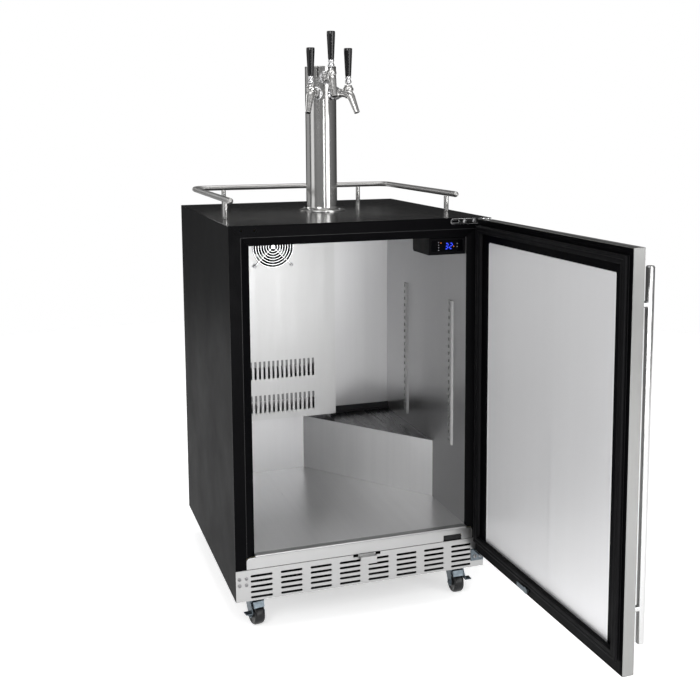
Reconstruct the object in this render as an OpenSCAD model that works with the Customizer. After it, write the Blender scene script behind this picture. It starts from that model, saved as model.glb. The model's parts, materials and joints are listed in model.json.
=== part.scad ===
// Three-tap undercounter kegerator on casters. Millimetres, +Z up, front towards -Y.
// The origin is on the floor under the middle of the cabinet.

/* [Cabinet] */
// Width across the side panels
cab_w = 600; // [590:1:620]
// Depth from the front frame to the rear panel
cab_d = 620; // [610:1:660]
// Height of the worktop above the floor
top_z = 912; // [905:1:930]
// Height of the cabinet's underside above the floor
base_z = 76; // [76:1:90]
// Thickness of each insulated side wall, liner included
wall_t = 45; // [42:1:48]
// Height of the cold compartment's floor
floor_z = 181; // [180:1:190]
// Height of the cold compartment's ceiling
ceil_z = 867; // [860:1:870]
// Distance from the front frame back to the compartment's rear wall
bay_d = 530; // [520:1:545]
// Height of the compressor hump above the compartment floor
hump_h = 146; // [130:1:150]

/* [Door] */
// Opening angle at which the door is drawn
door_angle = 91; // [0:1:114]
// Height of the door's lower edge above the floor
door_z0 = 122; // [122:1:124]
// Height of the door's upper edge above the floor
door_z1 = 909; // [900:1:909]
// Thickness of the door's folded steel skin
door_t = 24; // [22:1:30]
// Length of the door's vertical handle bar
handle_l = 710; // [400:10:740]
// Radius of the handle bar
handle_r = 8; // [6:0.5:10]

/* [Tower and rail] */
// Height of the tower column above the worktop
tower_h = 352; // [320:1:400]
// Outer radius of the tower column
tower_r = 38.1; // [38:0.1:40]
// Angle of each outer faucet from the middle one
tap_angle = 32; // [30:1:40]
// Drop of the outer faucets below the middle one
tap_drop = 38; // [36:1:50]
// Height of the guard rail's centre line above the worktop
rail_h = 45; // [40:1:60]
// Radius of the guard rail tube
rail_r = 7; // [5:0.05:8]

/* [Casters] */
// Radius of the caster wheels
wheel_r = 25; // [25:1:25]
// Width of the caster wheels
wheel_w = 26; // [24:1:27]
// Distance from each swivel axis to its wheel axle
caster_trail = 18; // [16:1:20]

/* [Hidden] */
$fn = 48;
sheet = 1.2;
eps = 0.01;
half_w = cab_w / 2;
front_y = -cab_d / 2;
back_y = cab_d / 2;
bay_x = half_w - wall_t;
bay_y = front_y + bay_d;
frame_t = 2.5;
foam_z0 = 152;
frame_z0 = 148.5;

// Lower front: lower panel above the toe grille
panel_x0 = -half_w + 25;
panel_x1 = half_w - 30;
panel_z0 = 149;
panel_z1 = 175.5;
grille_z0 = base_z + 0.5;
grille_z1 = 148;
slot_pitch_x = 69;
slot_pitch_z = 12.2;
slot_l = 50;
slot_h = 5.4;

// Hump over the compressor: a triangle in plan against the rear and right walls
hump_z = floor_z + hump_h;
hump_x0 = 7;
hump_y0 = front_y + 205;

// Evaporator cover on the rear wall, with its fan and louvres
evap_y = front_y + 480;
evap_x1 = 85;
evap_z0 = floor_z + 159;
fan_x = -85;
fan_z = 806;
fan_bore_r = 55;
louvre_x = fan_x - 3;
louvre_step = 12.2;
louvre_side = 9;
louvre_w = 6;
louvre_h = 48;
louvre_rows = [384, 476];

// Door, described closed and then turned about its hinge
hinge = [half_w - 13.5, front_y - 25.5];
door_gap = 13;
door_x0 = -half_w + 3;
door_in = front_y - door_gap;
door_out = door_in - door_t;
pin_r = 4;
pin_gap = 0.06;
gasket_w = 18;
seal_z0 = panel_z0 + 0.5;
seal_z1 = 895;
seal_x = half_w - 10;
view_x = half_w - 53;
view_z0 = 160;
view_z1 = 860;
lock_x = 48;
lock_z = 136;
handle_x = -half_w + 38;
handle_out = 36;

// Faucets: radius of the lever pivot from the tower's axis, and its height above the shank
tap_r = 88;
pivot_up = 9;
mid_tap_z = top_z + tower_h - 28;
taps = [["left", -tap_angle, tap_drop], ["centre", 0, 0], ["right", tap_angle, tap_drop]];

// Casters: name, swivel position, heading of the wheel from its swivel axis, and brake side
caster_x = 248;
caster_y = 248;
caster_top = base_z - 3;
king_r = 5;
axle_r = 3.5;
run_gap = 0.06;
fork_in = wheel_w / 2 + 0.5;
fork_t = 2.5;
brake_s = 20;
brake_z = 57;
casters = [
    ["fl", -caster_x, -caster_y, 280, -1],
    ["fr", caster_x, -caster_y, 270, 1],
    ["rl", -caster_x, caster_y, 80, 0],
    ["rr", caster_x, caster_y, 60, 0]
];

// Gas line hole through the rear wall
gas_x = -200;
gas_z = 250;
gas_r = 8;

// Gland of the power cord in the rear panel
gland_x = -240;
gland_z = 130;
gland_r = 8.9;

// Passage for the beer lines from the cold compartment up into the tower
lines_r = 32;

// Spare hinge holes at the frame's upper left corner
spare_x = -half_w + 42;
spare_z = top_z - 11;
spare_pitch = 28;
spare_r = 2.2;

// Rear post positions and the front ends of the rail
rail_x = half_w - 28;
rail_y0 = front_y + 110;
rail_y1 = back_y - 30;
rail_bend = 34;
post_y = front_y + 165;
post_x = 190;
post_r = 5.8;

// ---------- helpers ----------

// A box given by its lowest and highest corners
module block(lo, hi) {
    translate(lo) cube(hi - lo);
}

// A cylinder from point p along -Y or +Y
module along_y(p, r, l) {
    translate(p) rotate([-90, 0, 0]) cylinder(r = r, h = l);
}

// A cylinder from point p along +X
module along_x(p, r, l) {
    translate(p) rotate([0, 90, 0]) cylinder(r = r, h = l);
}

// A round-ended slot in the XZ plane, cut along Y
module slot_y(x, y, z, length, height, depth) {
    straight = length - height;
    block([x - straight / 2, y, z - height / 2], [x + straight / 2, y + depth, z + height / 2]);
    for (side = [-1, 1]) along_y([x + side * straight / 2, y, z], height / 2, depth);
}

// A domed screw head that stands out along -Y
module dome_screw(x, y, z, r) {
    translate([x, y, z]) rotate([90, 0, 0]) rotate_extrude()
        polygon([[0, 0], [r, 0], [r, 0.6], [0.8 * r, 1.5], [0.45 * r, 2.1], [0, 2.3]]);
}

// A tower faucet's own frame: +X runs out from the tower, turned to its heading and height
module at_tap(tap) {
    translate([0, 0, mid_tap_z - tap[2]]) rotate([0, 0, tap[1] - 90]) children();
}

// The door's closed frame, turned about the hinge axis to the drawn angle
module on_door() {
    translate([hinge[0], hinge[1], 0]) rotate([0, 0, door_angle])
        translate([-hinge[0], -hinge[1], 0]) children();
}

// A caster's own frame: origin on the floor under the swivel, +X towards the wheel
module at_caster(c) {
    translate([c[1], c[2], 0]) rotate([0, 0, c[3]]) children();
}

// ---------- cabinet shell ----------

module side_panels() {
    color("#2a2a2c") for (side = [-1, 1])
        translate([side * (half_w - sheet / 2), 0, 0])
            block([-sheet / 2, front_y + frame_t, base_z], [sheet / 2, back_y, top_z - sheet]);
}

module top_panel() {
    color("#333336") difference() {
        block([-half_w, front_y + frame_t, top_z - sheet], [half_w, back_y, top_z]);
        translate([0, 0, top_z - 5]) cylinder(r = lines_r, h = 10);
    }
}

module rear_panel() {
    inner = half_w - sheet;
    color("#2a2a2c") difference() {
        block([-inner, back_y - sheet, base_z + 2], [inner, back_y, top_z - sheet]);
        along_y([gas_x, back_y - 5, gas_z], gas_r, 10);
        along_y([gland_x, back_y - 5, gland_z], gland_r + 0.1, 10);
        for (i = [0:6]) slot_y(150, back_y - 5, 110 + 26 * i, 180, 10, 10);
    }
}

module base_pan() {
    inner = half_w - sheet;
    color("#3a3a3c") difference() {
        block([-inner, front_y + 4, base_z], [inner, back_y - sheet, base_z + 22]);
        block([-inner + 2, front_y + 6, base_z + 2], [inner - 2, back_y - sheet - 2, base_z + 30]);
    }
}

module cabinet_foam() {
    skin = half_w - sheet;
    lined = bay_x + sheet;
    color("#e8dfb8") difference() {
        block([-skin, front_y + 14, foam_z0], [skin, back_y - sheet, top_z - sheet]);
        difference() {
            block([-lined, front_y, floor_z - sheet], [lined, bay_y + sheet, ceil_z + sheet]);
            translate([0, 0, floor_z - 10]) linear_extrude(hump_z - sheet - floor_z + 10)
                polygon([[hump_x0 + 2, bay_y + 5], [bay_x + 5, hump_y0 + 2], [bay_x + 5, bay_y + 5]]);
        }
        translate([0, 0, foam_z0 - 5]) linear_extrude(hump_z - 25 - foam_z0) polygon([
            [40, bay_y], [bay_x, hump_y0 + 45], [half_w - 8, hump_y0 + 45],
            [half_w - 8, back_y], [40, back_y]
        ]);
        translate([0, 0, ceil_z - 5]) cylinder(r = lines_r, h = 60);
        along_y([gas_x, bay_y - 5, gas_z], gas_r, 140);
    }
}

// Side and rear walls, cut away behind the hump so that it opens into the machine space
module liner_walls() {
    y0 = front_y + 12;
    cut_z = hump_z - sheet;
    color("#b9babb") difference() {
        union() {
            for (side = [-1, 1]) translate([side * (bay_x + sheet / 2), 0, 0])
                block([-sheet / 2, y0, floor_z - sheet], [sheet / 2, bay_y - 0.05, ceil_z]);
            block([-bay_x - sheet, bay_y, floor_z - sheet], [bay_x + sheet, bay_y + sheet, ceil_z]);
        }
        along_y([gas_x, bay_y - 5, gas_z], gas_r, 12);
        block([bay_x - 1, hump_y0, floor_z - 5], [bay_x + 5, bay_y + 5, cut_z]);
        block([hump_x0, bay_y - 1, floor_z - 5], [bay_x + 5, bay_y + 5, cut_z]);
    }
}

module liner_ceiling() {
    color("#b9babb") difference() {
        block([-bay_x - sheet, front_y + 12, ceil_z], [bay_x + sheet, bay_y + sheet, ceil_z + sheet]);
        translate([0, 0, ceil_z - 5]) cylinder(r = lines_r, h = 10);
    }
}

module liner_floor() {
    color("#a9aaab") difference() {
        block([-bay_x, front_y + 14, floor_z - sheet], [bay_x, bay_y, floor_z]);
        translate([0, 0, floor_z - 5]) linear_extrude(10)
            polygon([[hump_x0 + 1, bay_y + 1], [bay_x + 1, hump_y0 + 1], [bay_x + 1, bay_y + 1]]);
    }
}

// Frame section: flat flange, then a bevelled breaker strip down to the opening
module frame_section() {
    flange = wall_t - 19;
    polygon([
        [0, 0], [flange, 0], [wall_t, 8], [wall_t, 12],
        [flange, 6], [flange, frame_t], [0, frame_t]
    ]);
}

// Two mitred side rails and a top rail, whose left end has the holes for a left-hung top hinge
module front_frame() {
    mitre_x = half_w - 0.1;
    mitre_in = bay_x - 0.1;
    color("#1b1b1d") difference() {
        union() {
            for (side = [0, 1]) mirror([side, 0, 0]) difference() {
                translate([-half_w, front_y, frame_z0]) linear_extrude(top_z - frame_z0)
                    frame_section();
                translate([-half_w, front_y - 5, top_z]) rotate([0, 45, 0])
                    translate([-5, 0, 0]) cube([120, 30, 60]);
            }
            intersection() {
                translate([-half_w, front_y, top_z]) rotate([0, 90, 0]) linear_extrude(cab_w)
                    frame_section();
                translate([0, front_y + 20, 0]) rotate([90, 0, 0]) linear_extrude(40) polygon([
                    [-mitre_x, top_z + eps], [mitre_x, top_z + eps],
                    [mitre_in, ceil_z - eps], [-mitre_in, ceil_z - eps]
                ]);
            }
        }
        for (side = [-1, 1]) along_y([spare_x + side * spare_pitch / 2, front_y - 5, spare_z], spare_r, 12);
        block([panel_x0 - 0.3, front_y - 1, frame_z0 - 1], [panel_x1 + 0.3, front_y + 20, panel_z1 + 0.3]);
    }
}

module sill_strip() {
    color("#d4d5d6") {
        block([-bay_x, front_y, panel_z1 + 0.5], [bay_x, front_y + 14, floor_z]);
        along_x([-bay_x, front_y, floor_z - 2.5], 2.5, 2 * bay_x);
    }
}

module lower_panel() {
    x0 = panel_x0;
    x1 = panel_x1;
    r = 8;
    color("#c9cacb") difference() {
        union() {
            block([x0, front_y, panel_z0], [x1, front_y + 1.5, panel_z1 - r]);
            block([x0 + r, front_y, panel_z0], [x1 - r, front_y + 1.5, panel_z1]);
            for (x = [x0 + r, x1 - r]) along_y([x, front_y, panel_z1 - r], r, 1.5);
            block([x0 + 2, front_y + 1.4, panel_z0], [x1 - 2, front_y + 14, panel_z0 + 1.5]);
        }
        block([197, front_y - 1, panel_z0 - 1], [243, front_y + 20, panel_z0 + 14]);
    }
}

module toe_grille() {
    color("#cfd0d1") difference() {
        union() {
            block([-half_w + 0.5, front_y, grille_z0], [half_w - 0.5, front_y + 1.5, grille_z1]);
            for (side = [-1, 1]) translate([side * (half_w - 2.7), 0, 0])
                block([-0.75, front_y + 1.4, grille_z0], [0.75, front_y + 3.9, grille_z1]);
        }
        for (i = [-3.5:3.5], j = [0:4])
            slot_y(i * slot_pitch_x, front_y - 1, 84.5 + j * slot_pitch_z, slot_l, slot_h, 4);
        for (x = [-21, 33]) block([x - 6, front_y - 1, grille_z1 - 6], [x + 6, front_y + 3, grille_z1 + 1]);
    }
}

module compressor_cover() {
    color("#b0b1b2") difference() {
        translate([0, 0, floor_z]) linear_extrude(hump_h)
            polygon([[hump_x0, bay_y], [bay_x, hump_y0], [bay_x, bay_y]]);
        translate([0, 0, floor_z - 12]) linear_extrude(hump_h + 12 - sheet)
            polygon([[hump_x0 + 2, bay_y + 1], [bay_x + 1, hump_y0 + 0.7], [bay_x + 1, bay_y + 1]]);
    }
}

// ---------- cooling ----------

// Cover with a fan hole and two rows of louvres, each row backed by a strip at its upper part
module evaporator_cover() {
    x0 = -bay_x;
    strip_x = louvre_side * louvre_step + 5;
    color("#d2d3d4") {
        difference() {
            block([x0, evap_y, evap_z0], [evap_x1, bay_y, ceil_z]);
            block([x0 - 1, evap_y + sheet, evap_z0 + sheet],
                [evap_x1 - sheet, bay_y + 1, ceil_z + 1]);
            along_y([fan_x, evap_y - 1, fan_z], fan_bore_r, 4);
            for (i = [-louvre_side:louvre_side], z = louvre_rows)
                translate([louvre_x + i * louvre_step, evap_y - 1, z])
                    block([-louvre_w / 2, 0, -louvre_h / 2], [louvre_w / 2, 4, louvre_h / 2]);
        }
        for (z = louvre_rows) translate([louvre_x, evap_y + sheet, z + louvre_h / 2])
            block([-strip_x, -0.1, -16], [strip_x, 1, 2]);
    }
}

module evaporator_coil() {
    x0 = -215;
    x1 = 45;
    color("#b7b9ba") {
        for (i = [0:20]) translate([x0 + 10 + i * 12, 0, 0])
            block([0, evap_y + 12, 420], [0.8, evap_y + 40, 640]);
        for (j = [0:4]) along_x([x0, evap_y + 26, 450 + j * 40], 5, x1 - x0);
    }
}

// Wire guard: flat rings on a diagonal cross, with four screw ears
module fan_guard() {
    color("#c4c5c6") translate([fan_x, evap_y - 5, fan_z]) rotate([90, 0, 0]) {
        for (r = [12:7:54]) rotate_extrude() polygon([
            [r - 1.2, -0.6], [r, -1.2], [r + 1.2, -0.6], [r + 1.2, 0.6], [r, 1.2], [r - 1.2, 0.6]
        ]);
        cylinder(r = 6, h = 1.6, center = true);
        for (a = [45:90:315]) rotate([0, 0, a]) {
            translate([0, -1.2, -1.6]) cube([68, 2.4, 1.6]);
            translate([70, 0, -0.8]) difference() {
                cylinder(r = 5, h = 1.6, center = true);
                cylinder(r = 2.2, h = 4, center = true);
            }
        }
    }
}

// Square axial fan frame of side s and depth d, with a hub held by four arms
module fan_frame(s, d, bore_r, hub_r) {
    difference() {
        block([-s / 2, 0, -s / 2], [s / 2, d, s / 2]);
        along_y([0, -1, 0], bore_r, d + 2);
    }
    difference() {
        union() {
            along_y([0, d - 6, 0], hub_r, 6);
            for (a = [0, 90]) rotate([0, a, 0])
                block([-bore_r - 1, d - 4, -3], [bore_r + 1, d, 3]);
        }
        along_y([0, d - 7, 0], 2 + run_gap, 8);
    }
}

// One pitched blade of width w reaching from the hub to past the tip
module fan_blade(hub_r, tip_r, w) {
    translate([0, 0, hub_r - 2]) rotate([0, 0, 50])
        block([-w / 2, -0.8, 0], [w / 2, 0.8, tip_r - hub_r + 6]);
}

// Rotor with its blades cut to a cylinder of the tip radius
module bladed_rotor(d, tip_r, hub_r, blades) {
    run = d - 9;
    along_y([0, 2, 0], hub_r, run);
    along_y([0, 3, 0], 2, d - 4);
    intersection() {
        along_y([0, 2, 0], tip_r, run);
        for (i = [0:blades - 1]) rotate([0, i * 360 / blades, 0])
            translate([0, 2 + run / 2, 0]) fan_blade(hub_r, tip_r, 1.25 * run);
    }
}

module evaporator_fan_frame() {
    color("#1a1a1a") translate([fan_x, evap_y + 3, fan_z]) fan_frame(120, 25, 56, 20);
}

module evaporator_fan() {
    color("#222222") translate([fan_x, evap_y + 3, fan_z]) bladed_rotor(25, 53, 20, 7);
}

module compressor() {
    cx = 190;
    cy = back_y - 105;
    z0 = base_z + 2;
    color("#202022") translate([cx, cy, 0]) {
        rotate_extrude() polygon([
            [0, z0 + 16], [58, z0 + 16], [62, z0 + 24], [62, z0 + 92], [64, z0 + 94], [64, z0 + 98],
            [62, z0 + 100], [62, z0 + 138], [56, z0 + 156], [42, z0 + 168], [22, z0 + 174],
            [0, z0 + 176]
        ]);
        block([-80, -60, z0 + 10], [80, 60, z0 + 16.5]);
        for (x = [-68, 68], y = [-48, 48]) translate([x, y, z0]) cylinder(r = 11, h = 10.5);
        block([-84, -22, z0 + 60], [-58, 22, z0 + 110]);
    }
}

module condenser() {
    y0 = front_y + 60;
    z0 = base_z + 4;
    color("#2b2b2d") {
        for (i = [0:21]) translate([-230 + i * 10, 0, 0]) block([0, y0, z0], [0.8, y0 + 60, z0 + 64]);
        for (j = [0:2], k = [0:1]) along_x([-236, y0 + 16 + 28 * k, z0 + 12 + 20 * j], 4, 226);
        translate([-120, y0 + 64, z0 + 32]) fan_frame(64, 22, 29, 10);
    }
}

module condenser_fan() {
    color("#3a3a3a") translate([-120, front_y + 124, base_z + 36]) bladed_rotor(22, 27, 10, 5);
}

module controller_housing() {
    x0 = bay_x - 90;
    y0 = front_y + 16;
    z0 = ceil_z - 41;
    color("#161618") difference() {
        translate([x0, 0, 0]) rotate([90, 0, 90]) linear_extrude(90) polygon([
            [y0 + 1.5, z0 + 1.5], [y0 + 3, z0], [y0 + 95, z0], [y0 + 100, z0 + 5],
            [y0 + 100, ceil_z], [y0 + 2, ceil_z], [y0, ceil_z - 3]
        ]);
        block([x0 + 6, y0 - 1, z0 + 7], [bay_x - 6, y0 + 2.2, ceil_z - 7]);
    }
}

module shelf_standards() {
    rows = [front_y + 94, front_y + 384];
    color("#c6c7c8") for (side = [0, 1], y = rows) mirror([side, 0, 0]) difference() {
        translate([-bay_x, y, 352]) linear_extrude(353)
            polygon([[0, -13], [1, -13], [4, -9], [4, 9], [1, 13], [0, 13]]);
        for (i = [0:19]) translate([-bay_x, y, 360 + i * 17.6])
            block([-1, 0.5, 0], [6, 7.5, 8]);
    }
}

// ---------- small cabinet fittings ----------

module lock_strike() {
    y1 = front_y - 11;
    color("#d0d1d2") {
        block([-12, y1, 142.8], [27, front_y, 144.4]);
        block([-12, y1, 127], [27, y1 + 1.6, 144.4]);
    }
}

module top_hinge() {
    z0 = door_z1 - 11.5;
    z1 = door_z1 + 1;
    color("#d8d9da") {
        difference() {
            union() {
                block([216, front_y - 2.5, z0], [292, front_y, z1]);
                along_y([216, front_y - 2.5, (z0 + z1) / 2], (z1 - z0) / 2, 2.5);
            }
            slot_y(222, front_y - 5, (z0 + z1) / 2, 16, 5, 10);
        }
        block([274, front_y - 34, z1], [297, front_y, z1 + 2.5]);
        translate([hinge[0], hinge[1], z1]) cylinder(r = 11.5, h = 2.5);
        translate([hinge[0], hinge[1], door_z1 - 14]) cylinder(r = pin_r, h = 17.5);
    }
}

module bottom_hinge() {
    z1 = door_z0 - 2;
    color("#d8d9da") {
        block([267, front_y - 2.5, z1 - 28], [half_w - 1, front_y, z1]);
        block([274, front_y - 34, z1 - 3], [297, front_y, z1]);
        translate([hinge[0], hinge[1], z1 - 3]) cylinder(r = 11.5, h = 3);
        translate([hinge[0], hinge[1], z1 - eps]) cylinder(r = 7, h = 1.6);
        translate([hinge[0], hinge[1], z1 - 1]) cylinder(r = pin_r, h = 15);
    }
}

module cover_screws() {
    color("#dcdddd") {
        for (x = [-291.5, -276], z = [114.5, 129]) dome_screw(x, front_y, z, 4.2);
        for (x = [277.5, 291]) dome_screw(x, front_y - 2.5, 103, 4.2);
        for (x = [244, 268]) dome_screw(x, front_y - 2.5, door_z1 - 5.2, 4);
        for (a = [45:90:315]) rotate([0, 0, a]) translate([49, 0, top_z + 5.8]) rotate([-90, 0, 0])
            dome_screw(0, 0, 0, 3.4);
    }
}

module door_sensor() {
    color("#222224") {
        block([198, front_y + 1.5, panel_z0 + 1.6], [242, front_y + 6, panel_z0 + 13.8]);
        for (p = [[225, 160.2], [231, 156]]) along_y([p[0], front_y + 0.4, p[1]], 2, 1.2);
    }
}

module power_gland() {
    color("#1c1c1c") difference() {
        union() {
            along_y([gland_x, back_y - 6, gland_z], gland_r, 7);
            along_y([gland_x, back_y, gland_z], 13, 4);
            along_y([gland_x, back_y + 3.9, gland_z], 8, 12);
        }
        along_y([gland_x, back_y - 10, gland_z], 4, 40);
    }
}

// ---------- guard rail ----------

module guard_rail() {
    z = top_z + rail_h;
    x_in = rail_x - rail_bend;
    y_in = rail_y1 - rail_bend;
    color("#c8c9ca") {
        along_x([-x_in, rail_y1, z], rail_r, 2 * x_in);
        for (side = [0, 1]) mirror([side, 0, 0]) {
            along_y([rail_x, rail_y0, z], rail_r, y_in - rail_y0);
            translate([x_in, y_in, z]) rotate_extrude(angle = 90)
                translate([rail_bend, 0]) circle(r = rail_r);
            translate([rail_x, rail_y0, z]) sphere(r = rail_r);
        }
    }
}

// Plain round posts, saddled to the underside of the rail
module rail_posts() {
    z = top_z + rail_h;
    saddle = rail_r + 0.02;
    places = [[-rail_x, post_y, 0], [rail_x, post_y, 0], [-post_x, rail_y1, 90], [post_x, rail_y1, 90]];
    color("#d2d3d4") for (p = places) translate([p[0], p[1], 0]) rotate([0, 0, p[2]]) difference() {
        translate([0, 0, top_z]) cylinder(r = post_r, h = rail_h - rail_r + 2.6);
        along_y([0, -20, z], saddle, 40);
    }
}

// ---------- beer tower ----------

module tower_column() {
    z1 = top_z + tower_h - 3;
    color("#cfd0d1") difference() {
        union() {
            translate([0, 0, top_z]) cylinder(r = tower_r, h = z1 - top_z);
            translate([0, 0, top_z]) rotate_extrude()
                polygon([[0, 0], [57, 0], [57, 2.5], [54, 5], [42, 6], [tower_r, 9], [0, 9]]);
        }
        translate([0, 0, top_z - 1]) cylinder(r = tower_r - 2, h = tower_h + 2);
        for (tap = taps) at_tap(tap) along_x([20, 0, 0], 11.2, 40);
    }
}

module tower_cap() {
    z1 = top_z + tower_h;
    color("#d6d7d8") rotate_extrude() polygon([
        [0, z1 - 6], [tower_r - 2.1, z1 - 6], [tower_r - 2.1, z1 - 3], [tower_r, z1 - 3],
        [tower_r, z1 - 1.2], [tower_r - 1.2, z1], [0, z1]
    ]);
}

module faucet_shanks() {
    color("#d4d5d6") for (tap = taps) at_tap(tap) difference() {
        union() {
            along_x([26, 0, 0], 11, 20);
            along_x([tower_r + 0.1, 0, 0], 15, 1.9);
            along_x([40, 0, 0], 12.5, 2);
            translate([42, 0, 0]) rotate([0, 90, 0]) rotate_extrude()
                polygon([[0, 0], [14, 0], [15.5, 1.5], [15.5, 9.5], [14, 11], [0, 11]]);
        }
        along_x([20, 0, 0], 4, 40);
    }
}

// Tube from a to b in the plane of the faucet, of radius r at a and r2 at b
module spout_part(a, b, r, r2) {
    run = norm(b - a);
    tilt = atan2(b[0] - a[0], b[2] - a[2]);
    translate(a) rotate([0, tilt, 0]) cylinder(r1 = r, r2 = r2, h = run);
}

module faucet_bodies() {
    bend = [tap_r + 5, 0, -3];
    tip = [tap_r + 27, 0, -47];
    color("#cdcecf") for (tap = taps) at_tap(tap) difference() {
        union() {
            along_x([53, 0, 0], 9.5, 12);
            along_x([64, 0, 0], 8.3, tap_r - 60);
            translate([tap_r, 0, -12]) rotate_extrude() polygon([
                [0, 0], [7, 0], [11, 4], [11, 17], [12.4, 18], [12.4, 24], [9, 28], [9, 31],
                [0, 31]
            ]);
            spout_part(bend, tip, 8.8, 6.4);
        }
        spout_part(tip, bend + [4, 0, -8], 4.4, 4.4);
        translate([tap_r, 0, pivot_up]) sphere(r = 6.4);
        translate([tap_r, 0, pivot_up]) cylinder(r1 = 4.6, r2 = 8.4, h = 12);
    }
}

module lever(tap) {
    color("#d8d9da") at_tap(tap) translate([tap_r, 0, pivot_up]) {
        sphere(r = 6);
        cylinder(r = 3, h = 20);
        translate([0, 0, 13.5]) rotate_extrude() polygon([
            [0, 0], [6.5, 0], [7.6, 1.2], [7.6, 7], [6.2, 8.2], [6.2, 12], [7, 12.8], [7, 17],
            [0, 17]
        ]);
    }
}

module tap_handle(tap) {
    color("#0e0e10") at_tap(tap) translate([tap_r, 0, pivot_up + 30.5]) rotate_extrude()
        polygon([[0, 0], [6.6, 0], [7.2, 1], [9.8, 58], [10, 64], [9.2, 65.6], [8, 66.3], [0, 66.3]]);
}

module lever_left() { lever(taps[0]); }
module lever_centre() { lever(taps[1]); }
module lever_right() { lever(taps[2]); }
module tap_handle_left() { tap_handle(taps[0]); }
module tap_handle_centre() { tap_handle(taps[1]); }
module tap_handle_right() { tap_handle(taps[2]); }

// ---------- door ----------

// The door's box from depth y0 to y1, drawn in by d at its edges
module door_box(y0, y1, d) {
    block([door_x0 + d, y0, door_z0 + d], [half_w - d, y1, door_z1 - d]);
}

module door_skin() {
    color("#c2c3c4") on_door() difference() {
        door_box(door_out, door_in, 0);
        door_box(door_out + sheet, door_in + 1, sheet);
        translate([hinge[0], hinge[1], door_z0 - 1])
            cylinder(r = pin_r + pin_gap, h = door_z1 - door_z0 + 2);
        along_y([lock_x, door_out - 1, lock_z], 9, 5);
    }
}

module door_frame() {
    color("#18181a") on_door() difference() {
        door_box(door_in - 2, door_in + 2, sheet + 0.4);
        block([-view_x, door_in - 5, view_z0], [view_x, door_in + 5, view_z1]);
        along_y([lock_x, door_in - 5, lock_z], 9.3, 10);
    }
}

module door_inner_panel() {
    color("#b4b5b7") on_door()
        block([-view_x + 0.1, door_in - 2, view_z0 + 0.1], [view_x - 0.1, door_in - 0.5, view_z1 - 0.1]);
}

module door_gasket() {
    y0 = door_in + 2;
    y1 = front_y - 0.6;
    w = gasket_w;
    color("#0c0c0d") on_door() difference() {
        block([-seal_x, y0, seal_z0], [seal_x, y1, seal_z1]);
        block([-seal_x + w, y0 - 1, seal_z0 + w], [seal_x - w, y1 + 1, seal_z1 - w]);
        difference() {
            block([-seal_x - 1, y0 + 2.5, seal_z0 - 1], [seal_x + 1, y0 + 5, seal_z1 + 1]);
            block([-seal_x + 3, y0, seal_z0 + 3], [seal_x - 3, y1, seal_z1 - 3]);
        }
    }
}

module door_foam() {
    color("#e8dfb8") on_door() difference() {
        door_box(door_out + sheet, door_in - 2.05, sheet);
        translate([hinge[0], hinge[1], door_z0 - 1]) cylinder(r = pin_r + 2, h = 20);
        translate([hinge[0], hinge[1], door_z1 - 20]) cylinder(r = pin_r + 2, h = 20);
        along_y([lock_x, door_out - 1, lock_z], 9.4, door_t + 10);
    }
}

module door_handle() {
    zc = (door_z0 + door_z1) / 2;
    bar_y = door_out - handle_out;
    color("#cacbcc") on_door() {
        translate([handle_x, bar_y, zc - handle_l / 2 + 1.5]) cylinder(r = handle_r, h = handle_l - 3);
        for (side = [-1, 1]) {
            translate([handle_x, bar_y, zc + side * (handle_l / 2 - 0.75)])
                cylinder(r = handle_r - 1, h = 1.6, center = true);
            along_y([handle_x, bar_y, zc + side * 286], 6, handle_out - 0.05);
            along_y([handle_x, door_out - 3.05, zc + side * 286], 8, 3);
        }
    }
}

module lock_barrel() {
    color("#d0d1d2") on_door() difference() {
        union() {
            along_y([lock_x, door_out - 2, lock_z], 11, 2);
            along_y([lock_x, door_out - 0.5, lock_z], 8.9, door_t + 2);
        }
        along_y([lock_x, door_out - 3, lock_z], 5 + run_gap, door_t + 8);
    }
}

module lock_cam() {
    cam_y = front_y - 7;
    color("#8e8f90") on_door() {
        difference() {
            along_y([lock_x, door_out - 2.4, lock_z], 5, cam_y - door_out + 3);
            block([lock_x - 0.9, door_out - 4, lock_z - 3.2], [lock_x + 0.9, door_out - 0.6, lock_z + 3.2]);
        }
        along_y([lock_x, cam_y, lock_z], 7, 2.4);
        block([lock_x, cam_y, lock_z - 5], [lock_x + 36, cam_y + 2.4, lock_z + 5]);
    }
}

// ---------- casters ----------

module caster_plates() {
    color("#b8bcc0") for (c = casters) translate([c[1], c[2], 0]) difference() {
        union() {
            block([-30, -30, caster_top], [30, 30, base_z]);
            translate([0, 0, 57]) cylinder(r = king_r, h = caster_top - 56);
            translate([0, 0, 55]) cylinder(r = 8, h = 4);
        }
        for (x = [-22, 22], y = [-22, 22]) translate([x, y, caster_top - 1]) cylinder(r = 3.2, h = 6);
    }
}

// Side plate of a fork in the plane of the wheel, with its axle and brake pivot ears
module fork_side() {
    translate([caster_trail, wheel_r]) circle(r = 9);
    translate([brake_s, brake_z]) circle(r = 7);
    polygon([[-15, 66], [19, 66], [caster_trail + 8.8, wheel_r + 2], [caster_trail - 8.8, wheel_r - 2]]);
}

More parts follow.
